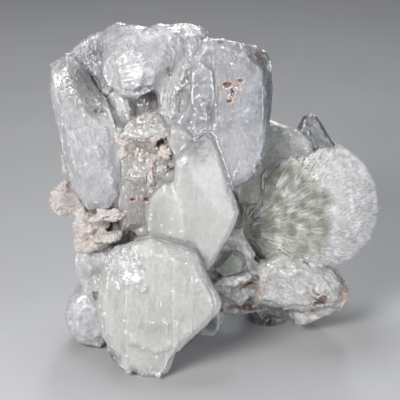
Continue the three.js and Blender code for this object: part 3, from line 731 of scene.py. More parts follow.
def scattered(name, ground, crystal, density, where, direction, length, width, seed, jitter, sink):
    """Scatters copies of a tiny crystal over the ground as one mesh of their own. where gives a mask and
    direction a vector for each place, and density is for each square millimetre. Each copy leans at random
    by up to jitter, and sink is the share of its length that stands in the ground."""
    bpy.ops.object.select_all(action="DESELECT")
    piece = ground.copy()
    piece.data = ground.data.copy()
    piece.name = name
    bpy.context.collection.objects.link(piece)
    taken = [("Geometry", "Geometry", None)]
    given = [("Geometry", "Geometry")]
    tree, inputs, outputs = new_group(name + " scatter", "GeometryNodeTree", taken, given)
    place = add(tree, "GeometryNodeInputPosition").outputs[0]
    normal = add(tree, "GeometryNodeInputNormal").outputs[0]
    chance = math_of(tree, "MULTIPLY", where(tree, place, normal), density * SQUARE_MM)
    points = add(tree, "GeometryNodeDistributePointsOnFaces",
                 {"Mesh": inputs.outputs[0], "Density": chance, "Seed": seed})
    shake = add(tree, "FunctionNodeRandomValue",
                {"Min": (-jitter,) * 3, "Max": (jitter,) * 3, "Seed": seed + 1},
                data_type="FLOAT_VECTOR").outputs[0]
    way = vector_of(tree, "ADD",
                    vector_of(tree, "NORMALIZE", direction(tree, place, points.outputs["Normal"])), shake)
    turn = add(tree, "FunctionNodeAlignRotationToVector", {"Vector": way}, axis="Z").outputs[0]
    any_size = add(tree, "FunctionNodeRandomValue", {2: 0.0, 3: 1.0, "Seed": seed + 2},
                   data_type="FLOAT").outputs[1]
    vary = math_of(tree, "ADD",
                   math_of(tree, "MULTIPLY", math_of(tree, "POWER", any_size, 2.0), SIZE_RANGE), SMALLEST)
    tall = math_of(tree, "MULTIPLY", math_of(tree, "MULTIPLY", length, vary), MM)
    wide = math_of(tree, "MULTIPLY", width * MM, vary)
    size = add(tree, "ShaderNodeCombineXYZ", {"X": wide, "Y": wide, "Z": tall}).outputs[0]
    down = scaled(tree, vector_of(tree, "NORMALIZE", way), math_of(tree, "MULTIPLY", tall, -sink))
    sunk = add(tree, "GeometryNodeSetPosition",
               {"Geometry": points.outputs["Points"], "Offset": down}).outputs[0]
    seedling = add(tree, "GeometryNodeObjectInfo", {"Object": crystal}).outputs["Geometry"]
    copies = add(tree, "GeometryNodeInstanceOnPoints",
                 {"Points": sunk, "Instance": seedling, "Rotation": turn, "Scale": size}).outputs[0]
    real = add(tree, "GeometryNodeRealizeInstances", {"Geometry": copies}).outputs[0]
    tree.links.new(real, outputs.inputs[0])
    finish_with(piece, "NODES", node_group=tree)
    bpy.data.node_groups.remove(tree)
    return piece


def in_spots(*spots):
    """A mask for scattered: the strongest of some ragged spots, each a middle, a reach and a strength."""

    def mask(tree, place, normal):
        total = 0.0
        for middle, reach, strength in spots:
            spot = placed_group(tree, "spot", build_spot, place=place, middle=at(*middle), reach=at(*reach),
                                ragged=0.4, grain=1.5 * MM, softness=0.5).outputs[0]
            total = math_of(tree, "MAXIMUM", total, math_of(tree, "MULTIPLY", spot, strength))
        return total

    return mask


def outwards(tree, place, normal):
    """A direction for scattered: straight off the ground."""
    return normal


def browned(holes):
    """Stains that line some holes: rusty round them and brown inside."""
    rings = ((RUST_RING, RUST, 0.8), (BROWN_RING, BROWN, 0.9))
    return [(middle, (reach[0] * wide, RING_DEPTH, reach[2] * wide), shade, strength)
            for wide, shade, strength in rings for middle, reach, _ in holes]


def grains(name, ground, density, spots, size, finish, slot, seed):
    """Sugary grains of that size in some spots of a piece."""
    crystal = seed_crystal(name + "_seed", 4, GRAIN_TOP)
    piece = scattered(name, ground, crystal, density, in_spots(*spots), outwards, size, size * GRAIN_WIDTH,
                      seed=seed, jitter=0.9, sink=0.45)
    bpy.data.objects.remove(crystal)
    return settle(piece, finish, slot)


# The settings that a user would change


class StoneSettings(bpy.types.PropertyGroup):
    """How finely the stone and the crust are skinned, and their tints."""

    grain: FloatProperty(name="Grain", description="Size of the skin's faces on the crystals that show",
                         default=0.24 * MM, subtype="DISTANCE", unit="LENGTH")
    coarse_grain: FloatProperty(name="Coarse grain",
                                description="Size of the skin's faces on the rear crystals",
                                default=0.36 * MM, subtype="DISTANCE", unit="LENGTH")
    crust_grain: FloatProperty(name="Crust grain",
                               description="Size of the skin's faces on the pink crust", default=0.18 * MM,
                               subtype="DISTANCE", unit="LENGTH")
    scatter: FloatProperty(name="Milkiness",
                           description="How far light travels inside the stone, in millimetres",
                           default=2.4, min=0.1)
    pearly_milky: FloatVectorProperty(name="Pearly, milky",
                                      description="Milky parts of the pearly crystals", size=4,
                                      default=tint(196, 196, 199), min=0.0, max=1.0, subtype="COLOR")
    pearly_clear: FloatVectorProperty(name="Pearly, clear",
                                      description="Clearer parts of the pearly crystals", size=4,
                                      default=tint(164, 165, 168), min=0.0, max=1.0, subtype="COLOR")
    creamy_milky: FloatVectorProperty(name="Creamy, milky", description="Milky parts of the front crystal",
                                      size=4, default=tint(201, 200, 198), min=0.0, max=1.0,
                                      subtype="COLOR")
    creamy_clear: FloatVectorProperty(name="Creamy, clear",
                                      description="Clearer parts of the front crystal", size=4,
                                      default=tint(180, 180, 178), min=0.0, max=1.0, subtype="COLOR")
    crust_pale: FloatVectorProperty(name="Crust, pale", description="Pale specks of the pink crust",
                                    size=4, default=tint(222, 216, 214), min=0.0, max=1.0, subtype="COLOR")
    crust_deep: FloatVectorProperty(name="Crust, deep", description="Deeper specks of the pink crust",
                                    size=4, default=tint(198, 187, 182), min=0.0, max=1.0, subtype="COLOR")


class NeedleSettings(bpy.types.PropertyGroup):
    """The mordenite needles."""

    felt_density: FloatProperty(name="Felt density",
                                description="Needles on each square millimetre of the dome", default=12.0,
                                min=0.0)
    bundle_density: FloatProperty(name="Bundle density",
                                  description="Needles on each square millimetre of the break",
                                  default=16.0, min=0.0)
    felt_length: FloatProperty(name="Felt length",
                               description="Length of the dome's needles, in millimetres", default=1.1,
                               min=0.1)
    root: FloatVectorProperty(name="Root", description="Where the needles fan out from", size=3,
                              default=at(5.4, 4.6, 25.0), subtype="TRANSLATION", unit="LENGTH")
    white: FloatVectorProperty(name="White", description="Tint of the white needles", size=4,
                               default=tint(252, 252, 253), min=0.0, max=1.0, subtype="COLOR")


class StageSettings(bpy.types.PropertyGroup):
    """The floor, the lights and the camera."""

    lens: FloatProperty(name="Lens", description="Focal length of the camera, in millimetres",
                        default=150.0)
    distance: FloatProperty(name="Distance", description="From the camera to the specimen", default=0.4,
                            subtype="DISTANCE", unit="LENGTH")
    elevation: FloatProperty(name="Elevation", description="How far the camera looks down",
                             default=math.radians(20), subtype="ANGLE", unit="ROTATION")
    aim: FloatVectorProperty(name="Aim", description="The place that the camera looks at", size=3,
                             default=at(-3.7, -0.4, 35.0), subtype="TRANSLATION", unit="LENGTH")
    floor_size: FloatProperty(name="Floor size", description="Side of the square floor", default=3.0,
                              subtype="DISTANCE", unit="LENGTH")
    floor_tint: FloatVectorProperty(name="Floor tint", description="The floor's common tint", size=4,
                                    default=tint(188, 189, 191), min=0.0, max=1.0, subtype="COLOR")
    floor_shade: FloatVectorProperty(name="Floor shade",
                                     description="The tint of the floor's faint clouds", size=4,
                                     default=tint(184, 185, 187), min=0.0, max=1.0, subtype="COLOR")
    key_power: FloatProperty(name="Key light", description="Power of the main light, in watts",
                             default=1.9)
    fill_power: FloatProperty(name="Fill light", description="Power of the fill light, in watts",
                              default=0.82)
    top_power: FloatProperty(name="Top light",
                             description="Power of the light from above and behind, in watts", default=0.8)
    back_power: FloatProperty(name="Back light", description="Power of the light from behind, in watts",
                              default=4.0)
    surround: FloatProperty(name="Surround", description="Strength of the even light all round",
                            default=0.12)


# The pieces


class PieceOperator:
    """What the operators of the pieces share."""

    bl_options = {"REGISTER", "UNDO"}

    @property
    def stone(self):
        return bpy.context.scene.specimen_stone

    @property
    def needles(self):
        return bpy.context.scene.specimen_needles


POCKET_GRAIN = 1.07  # against the other pieces, to stay under the limit on triangles

# The holes of each piece: a middle, a reach and a depth, in millimetres
SLAB_PITS = (((2.6, -7.4, 65.6), (1.6, 2, 0.8), 0.9), ((5.6, -7, 66.6), (0.9, 2, 0.5), 0.6),
             ((3.7, -7.6, 63.8), (0.6, 2, 1.7), 0.6), ((2.9, -7.8, 61.9), (0.9, 2, 0.5), 0.5))
SHEAF_PITS = (((-11.1, -5, 69.4), (0.9, 2, 1.1), 1.5), ((-10.7, -5, 67.6), (0.6, 2, 0.6), 1.1))
POCKET_HOLES = (((-12.4, -6.4, 51.4), (2.2, 4, 1.3), 1.6), ((-19.6, -7.4, 38), (0.8, 3, 0.5), 0.8),
                ((-16.3, -7.4, 38), (0.8, 3, 0.5), 0.8))
BASE_HOLES = (((25.4, -5.4, 10.8), (2.1, 3, 2.2), 2.0), ((23.2, -2.6, 7.4), (1.0, 3, 0.8), 1.0),
              ((7.4, -6, 15.2), (2.2, 3, 0.7), 0.9))


class SPECIMEN_OT_front_crystal(PieceOperator, bpy.types.Operator):
    """The large creamy crystal at the front left, with sugar grains on its upper left"""

    bl_idname = "specimen.front_crystal"
    bl_label = "Front crystal"

    def execute(self, context):
        druse = ((-20.5, -23.5, 28), (5.4, 5, 4.6))
        relief = (
            swells(7, depth=0.3, seed=2),
            lines(leaning(2), width=0.9, run=14, depth=0.05, seed=1),
            facets(leaning(2), width=3.2, run=16, depth=0.2, step=0.08, seed=6),
            only_near(lines(leaning(84), width=0.7, run=6, depth=0.22, seed=8), (-2.5, -24, 20),
                      (4.5, 6, 6)),
            only_near(swells(0.9, depth=0.45, seed=3), *druse),
            dent(*druse, depth=-0.35, ragged=0.7),
            only_near(swells(1.0, depth=0.4, seed=12), (-15, -25.5, 2.2), (4.5, 4, 2.4)),
            swells(1.6, depth=0.07, seed=5),
        )
        finish = stilbite(
            "creamy front stone", milky=self.stone.creamy_milky, clear=self.stone.creamy_clear,
            turn=leaning(2), scatter=self.stone.scatter, seed=1, shine=0.03,
            stains_and_painted_light=(
                ((-23.6, -24, 5), (3.4, 4, 3), (96, 98, 99), 0.95),
                # The druse: its grains are pale, and a painted highlight lies over them, pure white in its
                # middle.
                ((-20.5, -24, 28), (5, 6, 4), (232, 233, 234), 0.7),
                ((-19.4, -25, 26), (3.6, 6, 2.4), (255, 255, 255), 0.95),
                ((-13, -26, 14), (6, 4, 9), (167, 167, 163), 0.5),
                # Painted light: brightens the crystal's top bevel, which lies in shade.
                ((-12, -19, 31), (12, 5, 2.2), (240, 240, 238), 0.8),
            ),
        )
        plates = (
            plate([(-22.4, 27), (-20, 28.6), (-17.6, 27.6), (-17.4, 24.6), (-20.6, 23.8)], y=-25.4, thick=2,
                  yaw=-15, pitch=-25),
            plate([(-19.4, 25.6), (-17.6, 26), (-16, 24), (-16.6, 22.4), (-18.8, 22.6)], y=-26, thick=2,
                  yaw=-13, pitch=-23),
            plate([(-23.8, 24.6), (-22, 25.8), (-21, 24), (-22.6, 22.4)], y=-25, thick=2, yaw=-18,
                  pitch=-26),
            plate([(-16.4, 3.6), (-13.4, 4.2), (-12.4, 2.4), (-13.4, 1.2), (-16, 1.4)], y=-26.4, thick=2,
                  yaw=-14, pitch=-22),
            plate([(-26.4, 9), (-23.4, 9.6), (-20.6, 5), (-21, 2.2), (-23.6, 3), (-26, 6)], y=-24.2,
                  thick=4, yaw=-30, pitch=-6),
            plate([(-21, 15.5), (-8.6, 15), (-9.4, 8.6), (-12, 2.6), (-17.6, 2.2), (-20.8, 6)], y=-26.9,
                  thick=3, face=0.94, pitch=2),
        )
        piece = grow_crystal("front_crystal", finish, "creamy_stilbite", self.stone.grain, relief, fill=1.4,
                             extras=plates)
        spots = ((*druse, 1.0), ((-24.5, -23, 20), (1.8, 3, 9), 0.25),
                 ((-15, -25.8, 2.4), (4, 3, 1.6), 0.5))
        grains("front_crystal_sugar", piece, density=3.6, spots=spots, size=0.5,
               finish=grain_stone("sugar on the front stone"), slot="creamy_stilbite", seed=3)
        return {"FINISHED"}


class SPECIMEN_OT_middle_blade(PieceOperator, bpy.types.Operator):
    """The smooth creamy blade in the middle"""

    bl_idname = "specimen.middle_blade"
    bl_label = "Middle blade"

    def execute(self, context):
        relief = (
            swells(7, depth=0.25, seed=4),
            lines(leaning(6), width=0.8, run=18, depth=0.04, seed=4),
            facets(leaning(6), width=3.6, run=18, depth=0.12, step=0.05, seed=9),
            dent((-2, -12.6, 56), (6, 6, 10), 1.1, ragged=0.1, softness=1.0),
            swells(1.4, depth=0.05, seed=5),
        )
        finish = stilbite(
            "creamy blade stone", milky=tint(201, 201, 199), clear=tint(186, 186, 184), turn=leaning(6),
            scatter=self.stone.scatter, seed=4, tilt=0.06, shine=0.0, edge=0.5,
            stains_and_painted_light=(
                ((-5, -12, 54), (9, 9, 9), (140, 141, 144), 0.95),
                ((-14, -14, 36), (5, 9, 8), (170, 169, 166), 0.8),
            ),
        )
        step = plate([(-12.6, 42.4), (-10.6, 43.4), (-7.6, 45), (-6, 45.4), (-6, 39), (-12, 39)], y=-12.9,
                     thick=3, yaw=-6, pitch=-4)
        piece = grow_crystal("middle_blade", finish, "creamy_stilbite", self.stone.grain, relief, fill=0.7,
                             extras=(step,))
        pressed_back(piece, (-1.5, 58), (4.4, 44.5), reach=9.5, depth=2.2, fade=2)
        spots = (((2.6, -13, 40.4), (1.0, 3, 1.6), 1.0), ((4.6, -12.5, 37.4), (0.7, 3, 2.4), 0.6))
        grains("middle_blade_sugar", piece, density=3.0, spots=spots, size=0.4,
               finish=grain_stone("sugar on the blade"), slot="creamy_stilbite", seed=5)
        return {"FINISHED"}


class SPECIMEN_OT_right_slab(PieceOperator, bpy.types.Operator):
    """The broad slab on the right, with plates and pits on its face"""

    bl_idname = "specimen.right_slab"
    bl_label = "Right slab"

    def execute(self, context):
        relief = (
            swells(6, depth=0.25, seed=7),
            lines(leaning(4), width=0.7, run=14, depth=0.08, seed=7),
            facets(leaning(5), width=3.4, run=16, depth=0.18, step=0.08, seed=8),
            only_near(swells(1.0, depth=0.4, seed=14), (3.6, -7.6, 65), (3.4, 3, 3)),
            *(dent(*pit, ragged=0.7, grain=0.45) for pit in SLAB_PITS),
            swells(1.6, depth=0.07, seed=5),
        )
        finish = stilbite(
            "pearly slab stone", milky=tint(177, 178, 183), clear=tint(144, 146, 152), turn=leaning(4),
            scatter=self.stone.scatter, seed=7,
            stains_and_painted_light=(
                ((12.4, -6, 62), (4.4, 9, 15), (112, 115, 122), 0.9),
                ((10.4, -4, 71), (5, 9, 4), (108, 110, 111), 0.95),
                ((-1, -9, 66), (9, 9, 12), (156, 156, 160), 0.8),
                ((4, -7.6, 65), (4.4, 4, 3.6), (176, 171, 170), 0.7),
                ((9, -3.5, 72), (4.4, 6, 0.6), (132, 106, 94), 0.8),
                ((0.9, -5, 75.4), (1.0, 4, 1), BROWN, 0.8),
                ((5, -9, 50), (7, 5, 8), (186, 186, 188), 0.7),
                *browned(SLAB_PITS),
            ),
        )
        plates = (
            plate([(-5.2, 68.9), (-2.7, 70.5), (-1.1, 69.4), (-1.1, 62.7), (-2.5, 58.1), (-4.5, 57.6),
                   (-5.4, 61.7)], y=-8.5, thick=1.4, face=0.95, yaw=-3, pitch=-9),
            plate([(-2.9, 62), (-2.1, 62.4), (-1.7, 59), (-2.7, 58.6)], y=-9.6, thick=1.2, face=0.9, yaw=20,
                  pitch=-16),
            plate([(9.8, 71), (11.6, 68), (12, 60), (11.4, 51), (10.4, 49), (9.8, 60)], y=-6.6, thick=1.6,
                  yaw=16, pitch=-9),
        )
        piece = grow_crystal("right_slab", finish, "pearly_stilbite", self.stone.grain, relief, fill=2.0,
                             extras=plates)
        spots = (((7.0, -6.8, 66.4), (0.8, 2, 0.8), 1.0), ((9.2, -5.6, 68.4), (0.5, 2, 0.5), 1.0),
                 ((3.6, -7.6, 64.8), (3.6, 2, 2.8), 0.5), ((-4.4, -9, 66), (1.2, 3, 5), 0.4),
                 ((3, -6.4, 70), (6, 4, 5), 0.1))
        grains("right_slab_sugar", piece, density=3.0, spots=spots, size=0.45,
               finish=grain_stone("sugar on the slab"), slot="pearly_stilbite", seed=7)
        return {"FINISHED"}


class SPECIMEN_OT_left_column(PieceOperator, bpy.types.Operator):
    """The tall crystal on the left"""

    bl_idname = "specimen.left_column"
    bl_label = "Left column"

    def execute(self, context):
        relief = (
            swells(6, depth=0.4, seed=9),
            lines(leaning(-11), width=0.9, run=14, depth=0.08, seed=9),
            facets(leaning(-11), width=3.6, run=16, depth=0.18, step=0.08, seed=10),
            dent((-27.1, -6.5, 59.6), (2.2, 3, 0.9), 0.5, ragged=0.9),
            swells(1.5, depth=0.1, seed=5),
        )
        finish = stilbite(
            "pearly column stone", milky=self.stone.pearly_milky, clear=self.stone.pearly_clear,
            turn=leaning(-11), scatter=self.stone.scatter, seed=9, hairs=0.25, edge=0.6,
            stains_and_painted_light=(
                # The column's top: grey where it is see-through, and darkened further as painted shade.
                ((-31, -6, 67), (9, 9, 9), (116, 117, 118), 0.95),
                ((-28.5, -6, 61), (5, 9, 7), (122, 122, 115), 0.9),
                ((-27, -6.6, 59.3), (2, 6, 0.9), (95, 82, 66), 0.8),
                ((-36.4, -6, 62), (2, 8, 9), (184, 184, 187), 0.6),
            ),
        )
        plates = (
            plate([(-30.6, 58), (-27.2, 60.4), (-24.4, 55), (-22.6, 46), (-23.4, 39.4), (-28, 37.4),
                   (-31.6, 44)], y=-8.4, thick=3, face=0.8, yaw=12, pitch=-6),
            plate([(-27.6, 57.8), (-26.4, 57), (-25.2, 53.4), (-26.2, 52.8)], y=-8.6, thick=0.9, yaw=20,
                  pitch=-16),
        )
        piece = grow_crystal("left_column", finish, "pearly_stilbite", self.stone.grain, relief, fill=2.0,
                             extras=plates)
        spots = (((-35, -5, 66), (2, 4, 8), 0.25), ((-25.4, -7.8, 54.4), (0.7, 2, 2), 1.0),
                 ((-30, -9, 54), (7, 5, 12), 0.06))
        grains("left_column_sugar", piece, density=2.6, spots=spots, size=0.42,
               finish=grain_stone("sugar on the column"), slot="pearly_stilbite", seed=9)
        return {"FINISHED"}


class SPECIMEN_OT_top_sheaf(PieceOperator, bpy.types.Operator):
    """The grey fan, the pearly dome and the ridged flank across the top"""

    bl_idname = "specimen.top_sheaf"
    bl_label = "Top sheaf"

    def execute(self, context):
        fan = ((-29, 0, 70), (5.5, 9, 8))
        dome = ((-18.5, -8, 70), (6.4, 7, 5.6))
        strips = ((-9.6, -5, 61.5), (4, 5, 7.5))
        relief = (
            swells(5, depth=0.4, seed=11),
            only_near(lines(leaning(-13), width=0.45, run=10, depth=0.3, seed=11), *fan),
            only_near(lines(leaning(80), width=0.8, run=9, depth=0.6, seed=12), *dome),
            only_near(swells(0.9, depth=0.5, seed=13), (-19.4, -6, 74.4), (5, 5, 2.6)),
            only_near(lines(leaning(4), width=0.6, run=6, depth=0.5, seed=14), *strips),
            only_near(facets(leaning(-6), width=2.2, run=7, depth=0.5, step=0.2, seed=15), (-7, -2, 72),
                      (9, 9, 8)),
            dent((-17.6, -8.6, 65.4), (5, 4, 1.4), 1.0, ragged=0.3),
            dent((-28.4, -2.4, 64), (3.4, 3, 4), 1.2, ragged=0.2),
            *(dent(*pit, ragged=0.7, grain=0.45) for pit in SHEAF_PITS),
            swells(1.4, depth=0.12, seed=5),
        )
        finish = stilbite(
            "pearly sheaf stone", milky=self.stone.pearly_milky, clear=self.stone.pearly_clear,
            turn=leaning(-9), scatter=self.stone.scatter, seed=11, shine=0.14, tilt=0.26,
            stains_and_painted_light=(
                # The fan: grey where it is see-through, and darkened further as painted shade.
                (*fan, (122, 126, 132), 0.95),
                ((-8, -1, 74), (9, 7, 5), (171, 171, 175), 0.7),
                (*dome, (200, 200, 202), 0.85),
                # Painted highlight: the bright pearly band on the dome's lower bulge.
                ((-17, -10, 69.4), (5, 5, 1.8), (238, 238, 240), 0.8),
                (*strips, (150, 151, 147), 0.8),
                ((-10.8, -4.6, 68.8), (1.9, 5, 2.6), PINK, 0.8),
                ((-11.1, -4, 69.4), (0.9, 7, 1.1), (80, 78, 66), 0.95),
                ((-10.7, -4, 67.7), (0.6, 7, 0.7), BROWN, 0.95),
                # Painted shade in the recess between the strips and the slab.
                ((-7.6, -4, 60), (1.8, 6, 4), (124, 125, 113), 0.8),
                ((-10.3, -2, 77), (0.6, 2, 0.5), (126, 47, 36), 0.9),
                ((-2.3, 0, 75.4), (0.7, 2, 0.6), PINK, 0.8),
                # Painted shade, in the same recess.
                ((-7.2, -5, 66), (1.9, 6, 6.4), (138, 132, 125), 0.85),
                # Painted shadow in the cavity under the dome.
                ((-15, -1, 60), (4.4, 5, 3.4), (96, 92, 88), 0.8),
            ),
        )
        plates = (
            knob((-18.6, -2.8, 70.4), (7.4, 7.2, 6.2), subdivisions=4),
            knob((-15, -2.4, 71.6), (6.4, 6.4, 5.6), subdivisions=4),
            knob((-11.4, -1.2, 72.6), (5.6, 5.2, 4.9), subdivisions=4),
            knob((-20, 0, 73.2), (6.6, 5.6, 4.2), subdivisions=4),
            plate([(-9.8, 76.6), (-5, 76.8), (-2.8, 74.6), (-3.4, 70), (-7.6, 68.6), (-10, 72)], y=-4.3,
                  thick=1.6, yaw=6, pitch=-20),
        )
        piece = grow_crystal("top_sheaf", finish, "pearly_stilbite", self.stone.grain, relief, fill=1.8,
                             extras=plates)
        spots = (((-19.4, -6, 74.8), (5, 5, 2.2), 1.0), ((-17, -9.6, 67), (3, 3, 1.6), 0.8),
                 (*strips, 0.45), ((-8, -2, 74), (8, 5, 4), 0.12))
        grains("top_sheaf_sugar", piece, density=3.0, spots=spots, size=0.42,
               finish=grain_stone("sugar on the sheaf"), slot="pearly_stilbite", seed=11)
        return {"FINISHED"}


class SPECIMEN_OT_pocket_crystals(PieceOperator, bpy.types.Operator):
    """The pale crystals in the pocket between the large ones"""

    bl_idname = "specimen.pocket_crystals"
    bl_label = "Pocket crystals"

    def execute(self, context):
        relief = (
            swells(3, depth=0.35, seed=13),
            only_near(swells(1.3, depth=0.9, seed=19), (-16, -5, 55), (7, 6, 4)),
            lines(leaning(10), width=0.9, run=5, depth=0.2, seed=17),
            *(dent(*hole, ragged=0.5, softness=0.4) for hole in POCKET_HOLES),
            only_near(swells(1.0, depth=0.45, seed=18), (-16.5, -7, 44.5), (7, 4, 9)),
            swells(1.4, depth=0.08, seed=5),
        )
        finish = stilbite(
            "pearly pocket stone", milky=tint(182, 180, 179), clear=tint(154, 150, 147), edge=0.5,
            scatter=self.stone.scatter, seed=13,
            stains_and_painted_light=(
                # Painted shade on the inner face between the column and the blade.
                ((-20.6, -4, 31), (7, 9, 9), (134, 125, 115), 0.9),
                # Painted shade in the recess left of the blade.
                ((-9.5, -4, 43), (3, 9, 5), (128, 119, 108), 0.8),
                ((-14.8, -7, 43.6), (0.9, 5, 4.4), (132, 104, 92), 0.9),
                ((-12.4, -4, 51.2), (2.4, 8, 1.6), (104, 88, 72), 0.95),
                # Painted shade, brownish, on the lens-shaped ledge.
                ((-17, -6, 50), (5, 6, 2.6), (132, 120, 111), 0.9),
                # Painted shade in the cavity under the dome.
                ((-16, -3, 60), (5, 6, 3.4), (120, 116, 112), 0.8),
                ((-22.6, -4.6, 60), (2.4, 4, 3.4), (206, 206, 207), 0.8),
                ((-16, -8, 54.4), (7, 5, 2.4), (204, 203, 203), 0.8),
                *browned(POCKET_HOLES[1:]),
            ),
        )
        step = plate([(-19, 62.6), (-11.6, 63.4), (-10.4, 56.4), (-18, 55.4)], y=-1.4, thick=3, yaw=-6,
                     pitch=-16)
        piece = grow_crystal("pocket_crystals", finish, "pearly_stilbite", self.stone.grain * POCKET_GRAIN,
                             relief,
                             fill=0.6, extras=(step,))
        spots = (((-16, -7, 55), (6.5, 6, 2.6), 0.9), ((-17, -8, 43), (5, 4, 6), 0.35),
                 ((-22.6, -5, 60), (2, 4, 4), 0.4))
        grains("pocket_sugar", piece, density=3.0, spots=spots, size=0.42,
               finish=grain_stone("sugar in the pocket"), slot="pearly_stilbite", seed=13)
        return {"FINISHED"}


class SPECIMEN_OT_lower_left_crystals(PieceOperator, bpy.types.Operator):
    """The small rounded crystals at the lower left"""

    bl_idname = "specimen.lower_left_crystals"
    bl_label = "Lower left crystals"

    def execute(self, context):
        relief = (
            swells(3, depth=0.4, seed=15),
            facets(leaning(-20), width=2.4, run=6, depth=0.24, step=0.08, seed=16),
            dent((-28.1, -10, 14.3), (1.6, 3, 1.6), 0.8, ragged=0.6),
            swells(1.2, depth=0.14, seed=6),
        )
        finish = stilbite(
            "pearly lower left stone", milky=tint(206, 206, 210), clear=tint(188, 189, 192), hairs=0.1,
            scatter=self.stone.scatter, seed=15, shine=0.03, tilt=0.08, edge=0.5,
            stains_and_painted_light=(
                ((-28.1, -10, 14.3), (1.7, 4, 1.7), (108, 84, 70), 0.9),
                ((-29, -9, 20), (5, 6, 4), (168, 165, 162), 0.8),
                ((-32, -7, 28), (2.4, 5, 3.6), (150, 154, 160), 0.7),
            ),
        )
        piece = grow_crystal("lower_left_crystals", finish, "pearly_stilbite", self.stone.grain, relief,
                             fill=0.9)
        spots = (((-31, -9, 8), (5, 5, 8), 0.1), ((-28.4, -11, 11), (0.8, 2, 2.4), 1.0))
        grains("lower_left_sugar", piece, density=2.4, spots=spots, size=0.42,
               finish=grain_stone("sugar at the lower left"), slot="pearly_stilbite", seed=15)
        return {"FINISHED"}


class SPECIMEN_OT_grey_crystals(PieceOperator, bpy.types.Operator):
    """The grey crystal and the spike behind the needle ball"""

    bl_idname = "specimen.grey_crystals"
    bl_label = "Grey crystals"

    def execute(self, context):
        relief = (
            swells(5, depth=0.35, seed=17),
            lines(leaning(60), width=1.0, run=7, depth=0.12, seed=17),
            facets(leaning(20), width=2.4, run=8, depth=0.21, step=0.081, seed=18),
            swells(1.3, depth=0.08, seed=6),
        )
        finish = stilbite(
            "glassy grey stone", milky=tint(192, 193, 191), clear=tint(174, 176, 173), turn=leaning(60),
            streak=0.1, see_through=0.25, scatter=self.stone.scatter, seed=17, shine=0.02,
            stains_and_painted_light=(
                ((8, 1, 35), (8, 8, 5), (184, 180, 168), 0.85),
            ),
        )
        grow_crystal("grey_crystal", finish, "grey_stilbite", self.stone.grain, relief, fill=1.2)
        relief = (
            swells(3, depth=0.25, seed=19),
            lines(leaning(-28), width=0.7, run=8, depth=0.14, seed=19),
            swells(1.2, depth=0.08, seed=6),
        )
        finish = stilbite(
            "glassy spike stone", milky=tint(138, 139, 141), clear=tint(118, 120, 123), turn=leaning(-28),
            see_through=0.2, streak=0.1, scatter=self.stone.scatter, seed=19, shine=0.04,
        )
        grow_crystal("spike_crystal", finish, "grey_stilbite", self.stone.grain, relief, fill=0.3)
        return {"FINISHED"}


class SPECIMEN_OT_lower_right_crystals(PieceOperator, bpy.types.Operator):
    """The sugary crystals under the needle ball"""

    bl_idname = "specimen.lower_right_crystals"
    bl_label = "Lower right crystals"

    def execute(self, context):
        relief = (
            swells(4, depth=0.8, seed=21),
            lines(leaning(-50), width=0.5, run=4, depth=0.07, seed=23),
            facets(leaning(-40), width=2.4, run=6, depth=0.22, step=0.1, seed=24),
            *(dent(*hole, ragged=0.7) for hole in BASE_HOLES),
        )
        finish = stilbite(
            "sugary stone", milky=tint(196, 195, 194), clear=tint(172, 170, 168),
            scatter=self.stone.scatter, seed=21, haze=2.6, shine=0.1, tilt=0.14, turn=leaning(-50),
            hairs=0.25, edge=0.4,
            stains_and_painted_light=(
                ((9.6, -6, 13.4), (3, 5, 2.6), (186, 162, 152), 0.8),
                ((-0.5, -6, 19), (4, 6, 6), (196, 198, 186), 0.8),
                # The pale plate under the clear crystal, painted whiter still against the shade there.
                ((3.4, -8, 17.6), (3.6, 4, 1.4), (240, 240, 240), 0.9),
                ((8, -1, 7.4), (8, 9, 1.4), (104, 77, 62), 0.9),
                # Painted shadow: near black under the crystals at the lower right.
                ((13.4, 4, 1.4), (6, 14, 5), (34, 32, 30), 0.95),
                ((31, -2, 12), (3, 6, 4.4), (186, 160, 150), 0.9),
                ((18, -4, 20), (9, 5, 2), (180, 180, 179), 0.6),
                *browned(BASE_HOLES),
            ),
        )
        shelf = plate([(-0.4, 17.2), (1.4, 18.8), (6.8, 19.2), (7.2, 18), (4.2, 16.8)], y=-9.8, thick=2,
                      yaw=-6, pitch=-26)
        piece = grow_crystal("lower_right_crystals", finish, "sugary_stilbite", self.stone.grain, relief,
                             fill=0.8, extras=(shelf,))
        spots = (((13, -6, 17), (5, 7, 4), 0.6), ((23, -4, 13), (6, 7, 5), 0.3),
                 ((3, -7, 15.5), (4, 5, 4), 0.15))
        grains("lower_right_sugar", piece, density=2.4, spots=spots, size=0.45,
               finish=grain_stone("sugar on the lower right"), slot="sugary_stilbite", seed=21)
        return {"FINISHED"}


class SPECIMEN_OT_rear_crystals(PieceOperator, bpy.types.Operator):
    """The broad crystals at the back"""

    bl_idname = "specimen.rear_crystals"
    bl_label = "Rear crystals"

    def execute(self, context):
        relief = (
            swells(5, depth=0.4, seed=23),
            lines(leaning(0), width=0.9, run=12, depth=0.07, seed=23),
            facets(leaning(0), width=3.2, run=12, depth=0.28, step=0.1, seed=25),
            swells(1.4, depth=0.1, seed=6),
        )
        # Painted light: the rear crystals are tinted paler than the front ones to make up for the dim light
        # at the back.
        finish = stilbite(
            "pearly rear stone", milky=tint(232, 232, 234), clear=tint(212, 213, 215), hairs=0.15,
            edge=0.5, bump=0.25, scatter=self.stone.scatter, seed=23,
            stains_and_painted_light=(
                ((-1.2, 0, 3.6), (6, 9, 6), (112, 114, 118), 0.95),
            ),
        )
        grow_crystal("rear_crystals", finish, "pearly_stilbite", self.stone.coarse_grain, relief, fill=0.6)
        return {"FINISHED"}


